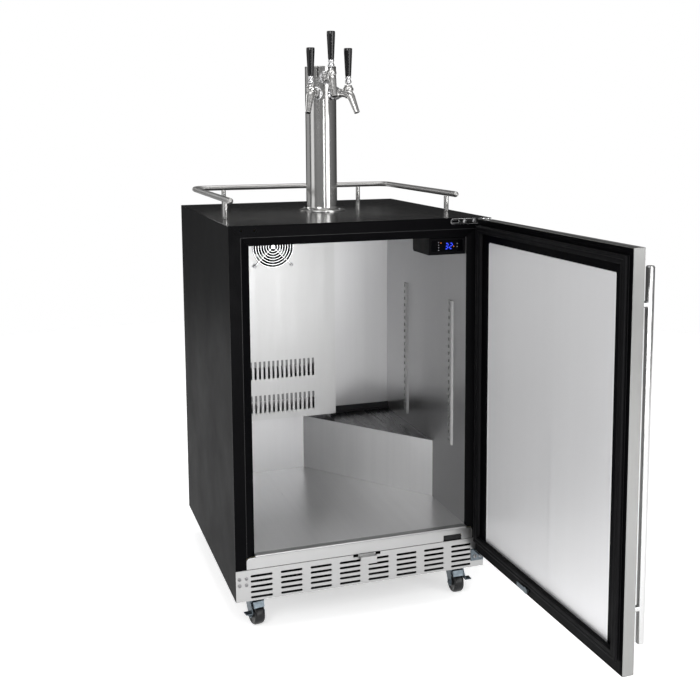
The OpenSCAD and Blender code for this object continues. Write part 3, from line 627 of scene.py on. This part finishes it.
# Black drip channel at the foot of the deep rear wall, on the hump
CHANNEL_X = (0.0855, BAY_X - 0.0002)
CHANNEL_Y = (0.2120, 0.2165, 0.2198)
CHANNEL_Z = (0.3275, 0.3315, 0.3455)
channel = merged(
    box_part((CHANNEL_X[0], CHANNEL_Y[1], CHANNEL_Z[0]), (CHANNEL_X[1], CHANNEL_Y[2], CHANNEL_Z[2])),
    box_part((CHANNEL_X[0], CHANNEL_Y[0], CHANNEL_Z[0]), (CHANNEL_X[1], CHANNEL_Y[1], CHANNEL_Z[1])),
)
bevelled(add("drip_channel", *channel, "cabinet", "black_plastic", "plastic"), 0.0006)

# ---------- controller ----------

CONTROLLER_X0 = BAY_X - 0.090
WINDOW_EDGE = 0.0062
glass_y = FRONT + 0.016 + 0.0009
window_part = box_part((CONTROLLER_X0 + WINDOW_EDGE, glass_y, CEIL - 0.0338),
                       (BAY_X - WINDOW_EDGE, glass_y + 0.0012, CEIL - 0.0072))
bevelled(add("display_window", *window_part, "cabinet", "display_plastic", "window"), 0.0004)

SEGMENTS = {"2": "abged", "3": "abgcd"}
DIGIT_W = 0.0066
DIGIT_H = 0.0126
STROKE = 0.0019
SLANT = 0.12
STROKE_DEPTH = 0.0004


def digit(ch, x, z):
    """Seven-segment strokes in the XZ plane, slanted a little, x rising to the right."""
    w, h, t = DIGIT_W, DIGIT_H, STROKE
    bars = {
        "a": ((0, h), (w, h)),
        "b": ((w, h / 2), (w, h)),
        "c": ((w, 0), (w, h / 2)),
        "d": ((0, 0), (w, 0)),
        "e": ((0, 0), (0, h / 2)),
        "g": ((0, h / 2), (w, h / 2)),
    }
    parts = []
    for segment in SEGMENTS[ch]:
        start, end = (Vector(p) for p in bars[segment])
        along = (end - start).normalized()
        point = along * t * 0.4
        half = Vector((-along.y, along.x)) * t / 2
        a, b = start + along * t * 0.55, end - along * t * 0.55
        outline = [a, a + point + half, b - point + half, b, b - point - half, a + point - half]
        verts = []
        for y in (0.0, STROKE_DEPTH):
            verts += [(x + p.x + SLANT * p.y, glass_y - y, z + p.y) for p in outline]
        faces = [tuple(range(6)), tuple(reversed(range(6, 12)))]
        faces += [(i, (i + 1) % 6, 6 + (i + 1) % 6, 6 + i) for i in range(6)]
        parts.append((verts, faces))
    return merged(*parts)


def dot(x, z, r):
    """A lamp or a legend mark, proud of the window."""
    profile = [(0, 0.0006), (r * 0.7, 0.0005), (r, 0.0001), (r, -0.0004), (0, -0.0004)]
    return moved(lathe(profile, 16), at(x, glass_y, z, FACE_OUT))


cz = CEIL - 0.0205
LAMP_R = 0.0009
digits = merged(digit("3", 0.2045, cz - 0.0068), digit("2", 0.2152, cz - 0.0068))
add("display_digits", *digits, "cabinet", "display_plastic", "digits")
lamps = merged(dot(0.1945, cz + 0.0070, LAMP_R), dot(0.2262, cz - 0.0015, LAMP_R))
add("display_lamps", *lamps, "cabinet", "display_plastic", "amber")
left_marks = [dot(0.1885, cz + z, 0.0012) for z in (0.0085, 0.0025, -0.0035, -0.0095)]
right_marks = [dot(0.2350, cz + z, 0.0013) for z in (0.0045, -0.0025)]
add("display_legends", *merged(*left_marks, *right_marks), "cabinet", "display_plastic", "legend")

# ---------- fan guard ----------

GUARD_RINGS = 7
GUARD_R0 = 0.012
GUARD_PITCH = 0.007
WIRE_R = 0.0012
SPOKE_R = 0.0011
SPOKE_L = 0.066
EAR_AT = 0.070
EAR_R = 0.0038
guard = []
for k in range(GUARD_RINGS):
    path = circle(GUARD_R0 + GUARD_PITCH * k, 0, 64, 65)
    guard.append(tube(path, WIRE_R, 10, capped=False))
guard.append(lathe([(0, 0.0014), (0.0048, 0.0013), (0.006, 0.0004), (0.006, -0.0006), (0, -0.0006)], 32))
spoke_z = Vector((0, 0, -WIRE_R))
for i in range(4):
    a = math.radians(45 + 90 * i)
    d = Vector((math.cos(a), math.sin(a), 0))
    guard.append(tube([d * 0.002 + spoke_z, d * SPOKE_L + spoke_z], SPOKE_R, 10))
    ear = [d * EAR_AT + Vector(p) for p in circle(EAR_R, -0.0009, 24, 25)]
    guard.append(tube(ear, WIRE_R, 8, capped=False))
    guard.append(screw(0.0031, 0.0018, d.x * EAR_AT, d.y * EAR_AT, -0.0003, FACE_UP, a * 1.7))
place = at(FAN.x, EVAP_Y - 0.005, FAN.z, FACE_OUT)
obj = add("fan_guard_wires", *merged(*guard), "cabinet", "chrome", "chrome", place)
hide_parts("fan_guard")

# ---------- rotors ----------


def blade(start, hub, tip, run, blades):
    """One swept, cambered fan blade standing on Z, from just inside the hub to just past the tip radius."""
    rows, cols = 7, 6
    verts, faces = [], []
    for half_thick in (-0.0005, 0.0005):
        for i in range(rows + 1):
            r = hub - 0.001 + (tip - hub + 0.0006) * i / rows
            chord = 2 * math.pi * hub / blades * 0.72 + 0.35 * (r - hub)
            sweep = 0.35 * max(0.0, (r - hub) / (tip - hub)) ** 1.5
            for j in range(cols + 1):
                u = j / cols - 0.5
                a = start + sweep + u * chord / r
                camber = 0.0016 * (1 - (2 * u) ** 2)
                z = 0.002 + run / 2 + u * run * 0.82 + camber + half_thick
                verts.append((r * math.cos(a), r * math.sin(a), z))
    side = (rows + 1) * (cols + 1)
    for i in range(rows):
        for j in range(cols):
            p = i * (cols + 1) + j
            quad = (p, p + 1, p + cols + 2, p + cols + 1)
            faces.append(quad)
            faces.append(tuple(side + q for q in reversed(quad)))
    edge = list(range(cols + 1))
    edge += [i * (cols + 1) + cols for i in range(1, rows + 1)]
    edge += [rows * (cols + 1) + j for j in range(cols - 1, -1, -1)]
    edge += [i * (cols + 1) for i in range(rows - 1, 0, -1)]
    for p, q in zip(edge, edge[1:] + edge[:1]):
        faces.append((q, p, side + p, side + q))
    return verts, faces


def rotor(name, node, body, centre, depth, tip, hub, blades):
    """A fan's hub, shaft and blades, turned to face along Y."""
    run = depth - 0.009
    shaft_r = 0.00195
    parts = [
        lathe(rounded([(0, 0.002), (hub, 0.002), (hub, 0.002 + run), (0, 0.002 + run)], 0.0015), 40),
        lathe([(0, depth - 0.0012), (shaft_r, depth - 0.0012), (shaft_r, 0.003), (0, 0.003)], 16),
    ]
    parts += [blade(2 * math.pi * b / blades, hub, tip, run, blades) for b in range(blades)]
    place = Matrix.Translation(centre) @ BACK_OUT
    obj = add(name, *merged(*parts), body, SLOT[node], "plastic", place)
    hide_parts(node)


rotor("evaporator_rotor_blades", "evaporator_fan", "evaporator_rotor",
      (FAN.x, EVAP_Y + 0.003, FAN.z), 0.025, 0.053, 0.020, 7)
rotor("condenser_rotor_blades", "condenser_fan", "condenser_rotor",
      (-0.120, FRONT + 0.124, 0.112), 0.022, 0.027, 0.010, 5)

# ---------- guard rail ----------

RAIL_X = 0.272
RAIL_Y0 = -0.200
RAIL_Y1 = 0.280
RAIL_Z = TOP + 0.045
RAIL_R = 0.007
BEND = 0.034
line = [Vector((-RAIL_X, RAIL_Y0, RAIL_Z)), Vector((-RAIL_X, 0.0, RAIL_Z))]
line += arc((-RAIL_X + BEND, RAIL_Y1 - BEND, RAIL_Z), (-1, 0, 0), (0, 1, 0), BEND, 0, math.pi / 2, 14)
line += [Vector((-0.1, RAIL_Y1, RAIL_Z)), Vector((0.1, RAIL_Y1, RAIL_Z))]
line += arc((RAIL_X - BEND, RAIL_Y1 - BEND, RAIL_Z), (0, 1, 0), (1, 0, 0), BEND, 0, math.pi / 2, 14)
line += [Vector((RAIL_X, 0.0, RAIL_Z)), Vector((RAIL_X, RAIL_Y0, RAIL_Z))]
ends = []
for sx in (-1, 1):
    dome = [(RAIL_R * math.sin(t), RAIL_R * math.cos(t)) for t in (math.pi / 2 * i / 7 for i in range(1, 8))]
    cap = lathe([(0, RAIL_R)] + dome + [(RAIL_R, -0.001), (0, -0.001)], 28)
    ends.append(moved(cap, at(sx * RAIL_X, RAIL_Y0, RAIL_Z, FACE_OUT)))
obj = add("guard_rail_tube", *merged(tube(line, RAIL_R, 28), *ends), "cabinet", "rail_steel", "rail")
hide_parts("guard_rail")

POST_R = 0.0058
POST_H = 0.0402
POST_Y = FRONT + 0.165
POST_X = 0.190
post_profile = [(0, 0), (POST_R, 0), (POST_R, POST_H - 0.0017), (POST_R * 0.8, POST_H), (0, POST_H)]
post = lathe(rounded(post_profile, 0.0006), 32)
post_places = ((-RAIL_X, POST_Y), (RAIL_X, POST_Y), (-POST_X, RAIL_Y1), (POST_X, RAIL_Y1))
posts = [moved(post, at(x, y, TOP)) for x, y in post_places]
obj = add("guard_rail_posts", *merged(*posts), "cabinet", "chrome", "satin")
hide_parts("rail_posts")

# ---------- beer tower ----------

COLUMN_R = 0.0381
COLUMN_TOP = TOP + 0.349
INNER_R = COLUMN_R - 0.002
column = [(INNER_R, TOP), (0.057, TOP), (0.057, TOP + 0.0022), (0.0562, TOP + 0.0032), (0.052, TOP + 0.0050),
          (0.043, TOP + 0.0058), (0.0396, TOP + 0.0068),
          (COLUMN_R + 0.0002, TOP + 0.0092), (COLUMN_R, TOP + 0.012),
          (COLUMN_R, MID_TAP_Z), (COLUMN_R, COLUMN_TOP), (INNER_R, COLUMN_TOP), (INNER_R, TOP)]
obj = add("tower_tube", *lathe(column, 128), "cabinet", "tower_steel", "tower")
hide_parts("tower_column")
CAP_TOP = TOP + 0.352
cap = [(0, TOP + 0.345), (INNER_R - 0.0001, TOP + 0.345), (INNER_R - 0.0001, TOP + 0.3492),
       (COLUMN_R, TOP + 0.3492), (COLUMN_R, CAP_TOP), (0, CAP_TOP)]
obj = add("tower_top_cap", *lathe(rounded(cap, 0.0011), 96), "cabinet", "chrome", "satin")
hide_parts("tower_cap")


def tap_frame(key):
    """The frame of a tap: origin on the tower's axis at its height, +X outwards along it."""
    angle, drop = TAPS[key]
    return Matrix.Translation((0, 0, MID_TAP_Z - drop)) @ Matrix.Rotation(math.radians(angle - 90), 4, "Z")


OUT = Matrix.Rotation(math.radians(90), 4, "Y")


def knurled(profile, seg, depth, z0, z1):
    """A lathe whose surface between z0 and z1 has straight knurls."""
    verts, faces = lathe(profile, seg)
    out = []
    for x, y, z in verts:
        r = math.hypot(x, y)
        if z0 < z < z1 and r > 1e-4:
            k = round(math.atan2(y, x) / (2 * math.pi / seg)) % 2
            s = (r - depth * k) / r
            x, y = x * s, y * s
        out.append((x, y, z))
    return out, faces


def shank():
    """Shank stub, escutcheon and the knurled coupling nut with its five pins, along +X."""
    collar = [(0, 0.0370), (0.0152, 0.0370), (0.0152, 0.0385), (0.0125, 0.0402), (0.0125, 0.0420),
              (0, 0.0420)]
    nut = [(0, 0.0420), (0.0145, 0.0420), (0.0157, 0.0432), (0.0157, 0.0434), (0.0157, 0.0514),
           (0.0157, 0.0516), (0.0145, 0.0529), (0, 0.0529)]
    parts = [
        lathe([(0, 0.026), (0.011, 0.026), (0.011, 0.0375), (0, 0.0375)], 40),
        lathe(rounded(collar, 0.0007), 48),
        knurled(rounded(nut, 0.0004), 72, 0.0007, 0.0433, 0.0515),
    ]
    pin = lathe([(0, 0.0163), (0.0017, 0.0161), (0.0021, 0.0152), (0.0021, 0.010), (0, 0.010)], 16)
    for i in range(5):
        turn = Matrix.Rotation(2 * math.pi * i / 5 + 0.3, 4, "Z")
        parts.append(moved(pin, turn @ Matrix.Translation((0, 0, 0.0475)) @ OUT))
    return moved(merged(*parts), OUT)


def faucet():
    """A faucet with its stepped barrel, smooth elbow, tapering spout and lever boss, then a dark disc on the
    closed spout end, painted shade for its mouth.
    """
    barrel = [(0, 0.0525), (0.0098, 0.0525), (0.0098, 0.0600), (0.0112, 0.0612), (0.0112, 0.0640),
              (0.0094, 0.0652), (0.0088, 0.0700), (0.0088, 0.0720), (0.0098, 0.0728), (0.0098, 0.0752),
              (0.0086, 0.0762), (0.0086, 0.0800), (0, 0.0800)]
    parts = [moved(lathe(rounded(barrel, 0.0005), 48), OUT)]
    tip = Vector((TAP_R + 0.027, 0, -0.047))
    knee = Vector((TAP_R + 0.0085, 0, -0.0075))
    down = (tip - knee).normalized()
    start = Vector((0.077, 0, 0))
    corner = Vector((TAP_R + 0.0048, 0, 0.0006))
    end = knee + down * 0.008
    bend_steps, straight_steps = 14, 5
    bend = []
    radii = []
    for i in range(bend_steps + 1):
        t = i / bend_steps
        bend.append((1 - t) ** 2 * start + 2 * t * (1 - t) * corner + t * t * end)
        radii.append(0.0086 + 0.0016 * math.sin(math.pi * t))
    reach = (tip - knee).length
    straight = [knee + down * (0.008 + reach * 0.15 * k) for k in range(1, straight_steps)]
    radii += [0.0086 - 0.0020 * k / straight_steps for k in range(1, straight_steps + 1)]
    pts = bend + straight + [tip]
    parts.append(tube(pts, radii, 32))
    lip = lathe(rounded([(0, 0), (0.0069, 0), (0.0069, 0.0012), (0.0062, 0.002), (0, 0.002)], 0.0003), 32)
    rot = down.to_track_quat("Z", "Y").to_matrix().to_4x4()
    parts.append(moved(lip, Matrix.Translation(tip - down * 0.0018) @ rot))
    # A thin dark disc on the closed spout end stands for the opening: painted shade
    mouth_shade_disc = lathe([(0, 0.0001), (0.0044, 0.0001), (0.0044, -0.0001), (0, -0.0001)], 24)
    boss = [(0, -0.0125), (0.0068, -0.0125), (0.0100, -0.0095), (0.0106, 0.0035), (0.0112, 0.0050),
            (0.0124, 0.0058), (0.0124, 0.0112), (0.0108, 0.0130), (0.0092, 0.0158), (0.0088, 0.0186),
            (0.0066, 0.0188), (0.0052, 0.0150), (0, 0.0150)]
    parts.append(moved(lathe(rounded(boss, 0.0006), 48), Matrix.Translation((TAP_R, 0, 0))))
    return merged(*parts), moved(mouth_shade_disc, Matrix.Translation(tip + down * 0.0002) @ rot)


def on_taps(part):
    """A part made in the tap's frame, repeated at each tap."""
    return merged(*[moved(part, tap_frame(key)) for key in TAPS])


body_part, mouth_shade = faucet()
obj = add("faucet_shank_set", *on_taps(shank()), "cabinet", "chrome", "chrome", sharp=30)
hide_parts("faucet_shanks")
obj = add("faucet_body_set", *on_taps(body_part), "cabinet", "chrome", "satin", sharp=30)
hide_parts("faucet_bodies")
# Dark discs at the spout ends: painted shade for the faucets' openings
add("faucet_mouth_painted_shade", *on_taps(mouth_shade), "cabinet", "black_plastic", "dark_slot")

lever_profile = [
    (0, -0.0035), (0.0030, -0.0030), (0.0034, 0.0), (0.0030, 0.0030), (0.0030, 0.0128), (0.0052, 0.0132),
    (0.0071, 0.0142), (0.0077, 0.0160), (0.0077, 0.0196), (0.0064, 0.0212), (0.0058, 0.0226),
    (0.0058, 0.0246), (0.0066, 0.0256), (0.0071, 0.0268), (0.0071, 0.0300), (0.0060, 0.0304), (0, 0.0304)]
BALL_R = 0.0059
ball_profile = [(0, BALL_R)]
for i in range(1, 14):
    t = math.pi * i / 14
    ball_profile.append((BALL_R * math.sin(t), BALL_R * math.cos(t)))
ball_profile += [(0, -BALL_R)]
ferrule = merged(lathe(rounded(lever_profile, 0.0005), 40), lathe(ball_profile, 32))
handle_profile = [(0, 0.0305), (0.0062, 0.0305), (0.0067, 0.0308), (0.0070, 0.0316), (0.0073, 0.0340)]
handle_profile += [(0.0073 + 0.0026 * t, 0.0340 + 0.0540 * t) for t in (i / 10 for i in range(1, 11))]
handle_profile += [(0.0100, 0.0945), (0.0098, 0.0956), (0.0093, 0.0964), (0.0085, 0.0968), (0, 0.0968)]
PIVOT = Matrix.Translation((TAP_R, 0, 0.009))
for key in TAPS:
    place = tap_frame(key) @ PIVOT
    body = "tap_lever_" + key
    obj = add("lever_ferrule_" + key, *ferrule, body, "chrome", "chrome", place, 30)
    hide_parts("lever_" + key)
    obj = add("tap_grip_" + key, *lathe(handle_profile, 48), body, "tap_black", "handle_black", place, 40)
    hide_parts("tap_handle_" + key)

# ---------- door ----------

refined("door_skin", "door_skin", 0.0012, 3)
refined("lock_barrel", "chrome", 0.0004)
refined("lock_cam", "zinc", 0.0005)
refined("door_handle", "bar", 0.0006, 2, 50)

# Frame: flat black moulding with a shallow groove and a rolled inner edge against the panel.
# Each level is a share of the way in from the outer edge, and a height over the door's inner face.
MOULDING_OUTER = (-HALF_W + 0.0046, HALF_W - 0.0016, 0.1236, 0.9074)
MOULDING_INNER = (-VIEW_X, VIEW_X, VIEW_Z[0], VIEW_Z[1])
moulding_levels = [
    (0.0, -0.0018), (0.0, 0.0010), (0.012, 0.0015), (0.05, 0.0015), (0.06, 0.0008), (0.09, 0.0008),
    (0.10, 0.0015), (0.60, 0.0015), (0.70, 0.0012), (0.90, 0.0010), (0.965, 0.0008), (0.99, 0.0004),
    (1.0, -0.0006), (1.0, -0.0018)]
verts = []
for share, h in moulding_levels:
    x0, x1, z0, z1 = (a + (b - a) * share for a, b in zip(MOULDING_OUTER, MOULDING_INNER))
    y = DOOR_IN + h
    verts += [(x0, y, z0), (x1, y, z0), (x1, y, z1), (x0, y, z1)]
part = (verts, skin(len(moulding_levels), 4, closed=True))
obj = add("door_moulding", *moved(part, ON_DOOR), "door", "black_frame", "frame_black", sharp=25)
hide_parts("door_frame")

# Magnetic gasket: foot, bellows fold and magnet bar, mitred at the corners
profile = [
    (0.0012, 0.0), (0.0, 0.0012), (0.0002, 0.0024), (0.0020, 0.0030), (0.0026, 0.0040), (0.0012, 0.0050),
    (0.0002, 0.0060), (0.0004, 0.0086), (0.0016, 0.0100), (0.0040, 0.0104), (0.0062, 0.0101),
    (0.0070, 0.0094), (0.0090, 0.0094), (0.0100, 0.0101), (0.0122, 0.0102), (0.0150, 0.0100),
    (0.0164, 0.0088), (0.0158, 0.0062), (0.0168, 0.0046), (0.0178, 0.0030), (0.0180, 0.0012), (0.0168, 0.0)]
part = frame_sweep(profile, -SEAL_X, SEAL_X, SEAL_Z[0], SEAL_Z[1], DOOR_IN + 0.002)
obj = add("door_gasket_bellows", *moved(part, ON_DOOR), "door", "gasket_rubber", "gasket", sharp=50)
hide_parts("door_gasket")

# Inner panel: flat sheet with a thin rolled rim
SHEET_GAP = 0.0002
SHEET_CORNER = 0.005


def rounded_rect(x0, x1, z0, z1, r, y, steps=6):
    """Points round a rectangle in XZ with rounded corners."""
    pts = []
    corners = ((x1 - r, z1 - r), (x0 + r, z1 - r), (x0 + r, z0 + r), (x1 - r, z0 + r))
    for quarter, (cx, cz) in enumerate(corners):
        for i in range(steps + 1):
            a = math.radians(90 * quarter + 90 * i / steps)
            pts.append((cx + r * math.cos(a), y, cz + r * math.sin(a)))
    return pts


sheet_levels = [(0.0, -0.0020), (0.0, -0.0004), (0.0005, 0.0), (0.0022, 0.0), (0.0030, -0.0004),
                (0.0036, -0.0005)]
verts = []
for inset, h in sheet_levels:
    d = SHEET_GAP + inset
    verts += rounded_rect(-VIEW_X + d, VIEW_X - d, VIEW_Z[0] + d, VIEW_Z[1] - d,
                          SHEET_CORNER - min(inset, 0.0035), DOOR_IN + h)
rings = len(sheet_levels)
sides = len(verts) // rings
faces = skin(rings, sides)
faces.append(tuple((rings - 1) * sides + i for i in range(sides)))
faces.append(tuple(reversed(range(sides))))
obj = add("door_inner_sheet", *moved((verts, faces), ON_DOOR), "door", "door_liner", "door_liner", sharp=25)
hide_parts("door_inner_panel")

# ---------- casters ----------

WHEEL_R = 0.025
WHEEL_HALF_W = 0.013
CASTER_OFFSET = 0.018
BORE_R = 0.00356
w = WHEEL_HALF_W
half = [(BORE_R, w), (0.0080, w), (0.0084, w - 0.0022), (0.0150, w - 0.0026), (0.0180, w - 0.0012),
        (0.0205, w - 0.0006), (0.0222, w - 0.0012), (0.0240, w - 0.0032), (0.0248, w - 0.0062),
        (WHEEL_R, w - 0.0090)]
tread = [(r, -z) for r, z in half] + [(WHEEL_R, 0.0)] + half[::-1] + [(BORE_R, -w)]
wheel = lathe(rounded(tread, 0.0006), 64)
for key, (x, y, heading) in CASTERS.items():
    refined("caster_fork_" + key, "zinc", 0.0006)
    if key in ("fl", "fr"):
        refined("caster_brake_" + key, "zinc", 0.0005)
    swivel = at(x, y, 0, Matrix.Rotation(math.radians(heading), 4, "Z"))
    axle = swivel @ at(CASTER_OFFSET, 0, WHEEL_R, FACE_OUT)
    obj = add("caster_tread_" + key, *wheel, "wheel_" + key, "tyre_rubber", "tread", axle, 30)
    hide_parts("caster_wheel_" + key)
refined("caster_plates", "zinc", 0.0006)

# ---------- stage, light and camera ----------

floor_mat = bpy.data.materials.new("floor_white")
floor_mat.use_nodes = True
sockets = floor_mat.node_tree.nodes["Principled BSDF"].inputs
sockets["Base Color"].default_value = (0.9, 0.9, 0.9, 1)
sockets["Roughness"].default_value = 0.8
sockets["Specular IOR Level"].default_value = 0.1
sockets["Emission Color"].default_value = (1, 1, 1, 1)
sockets["Emission Strength"].default_value = 0.55
FLOOR_R = 3.4
mesh = bpy.data.meshes.new("floor")
mesh.from_pydata(circle(FLOOR_R, 0, 96), [], [tuple(range(96))])
mesh.materials.append(floor_mat)
floor = bpy.data.objects.new("floor", mesh)
bpy.context.scene.collection.objects.link(floor)

# The camera sees plain white. Reflections see a room that is lighter towards the front and above.
world = bpy.data.worlds.new("studio")
bpy.context.scene.world = world
world.use_nodes = True
tree = world.node_tree
tree.nodes.clear()
output = tree.nodes.new("ShaderNodeOutputWorld")
mix = tree.nodes.new("ShaderNodeMixShader")
seen = tree.nodes.new("ShaderNodeBackground")
seen.inputs["Color"].default_value = (1, 1, 1, 1)
lit = tree.nodes.new("ShaderNodeBackground")
path = tree.nodes.new("ShaderNodeLightPath")
coord = tree.nodes.new("ShaderNodeTexCoord")
split = tree.nodes.new("ShaderNodeSeparateXYZ")
tree.links.new(coord.outputs["Generated"], split.inputs[0])
total = tree.nodes.new("ShaderNodeMath")
total.operation = "ADD"
# Axis, the direction's value at the dark end and at the light end, and the strength at each
ROOM = (("Y", 0.9, -0.6, 0.02, 0.36), ("Z", 0.05, 0.9, 0.0, 0.30))
for i, (axis, dark_at, light_at, dark, light) in enumerate(ROOM):
    ramp = tree.nodes.new("ShaderNodeMapRange")
    ramp.inputs["From Min"].default_value = dark_at
    ramp.inputs["From Max"].default_value = light_at
    ramp.inputs["To Min"].default_value = dark
    ramp.inputs["To Max"].default_value = light
    tree.links.new(split.outputs[axis], ramp.inputs["Value"])
    tree.links.new(ramp.outputs[0], total.inputs[i])
tree.links.new(total.outputs[0], lit.inputs["Strength"])
tree.links.new(path.outputs["Is Camera Ray"], mix.inputs[0])
tree.links.new(lit.outputs[0], mix.inputs[1])
tree.links.new(seen.outputs[0], mix.inputs[2])
tree.links.new(mix.outputs[0], output.inputs[0])


def softbox(name, where, aim, size, power):
    """A rectangular white light at a place, facing its aim."""
    light = bpy.data.lights.new(name, "AREA")
    light.shape = "RECTANGLE"
    light.size, light.size_y = size
    light.energy = power
    obj = bpy.data.objects.new(name, light)
    obj.location = where
    obj.rotation_euler = (Vector(aim) - Vector(where)).to_track_quat("-Z", "Y").to_euler()
    bpy.context.scene.collection.objects.link(obj)


softbox("key_front_left", (-2.4, -3.2, 2.6), (0, 0, 0.6), (1.8, 1.8), 60)
softbox("fill_front_right", (2.2, -3.4, 1.6), (0.1, 0.1, 0.5), (1.6, 2.2), 45)
softbox("top", (0.2, 0.0, 3.6), (0, 0, 0.8), (2.2, 2.2), 34)
softbox("rear_left", (-2.2, 2.8, 2.4), (0, 0, 0.7), (1.6, 1.6), 18)
softbox("strip_front", (0.20, -3.0, 1.0), (0, 0, 1.1), (0.10, 1.8), 8)
softbox("rear_left_card", (-2.0, 2.0, 1.2), (0, 0, 1.1), (2.4, 2.2), 7)
softbox("left_card", (-3.0, -0.3, 1.2), (0, 0, 0.9), (1.4, 1.8), 8)
softbox("bay_fill", (0.30, -2.3, 0.45), (-0.05, 0.2, 0.3), (0.9, 0.5), 8.5)

cam_data = bpy.data.cameras.new("camera")
cam = bpy.data.objects.new("camera", cam_data)
bpy.context.scene.collection.objects.link(cam)
bpy.context.scene.camera = cam
yaw, pitch, roll = math.radians(18.35), math.radians(7.03), math.radians(-0.39)
ahead = Vector((math.sin(yaw) * math.cos(pitch), math.cos(yaw) * math.cos(pitch), -math.sin(pitch)))
level = Vector((math.cos(yaw), -math.sin(yaw), 0))
upright = level.cross(ahead)
right = level * math.cos(roll) + upright * math.sin(roll)
up = upright * math.cos(roll) - level * math.sin(roll)
facing = Matrix((right, up, -ahead)).transposed().to_4x4()
cam.matrix_world = Matrix.Translation((-0.73145, -2.42521, 1.12481)) @ facing
cam_data.sensor_width = 36
cam_data.lens = 52.57
cam_data.shift_y = -0.143
cam_data.clip_end = 60
bpy.context.scene.view_settings.view_transform = "Standard"
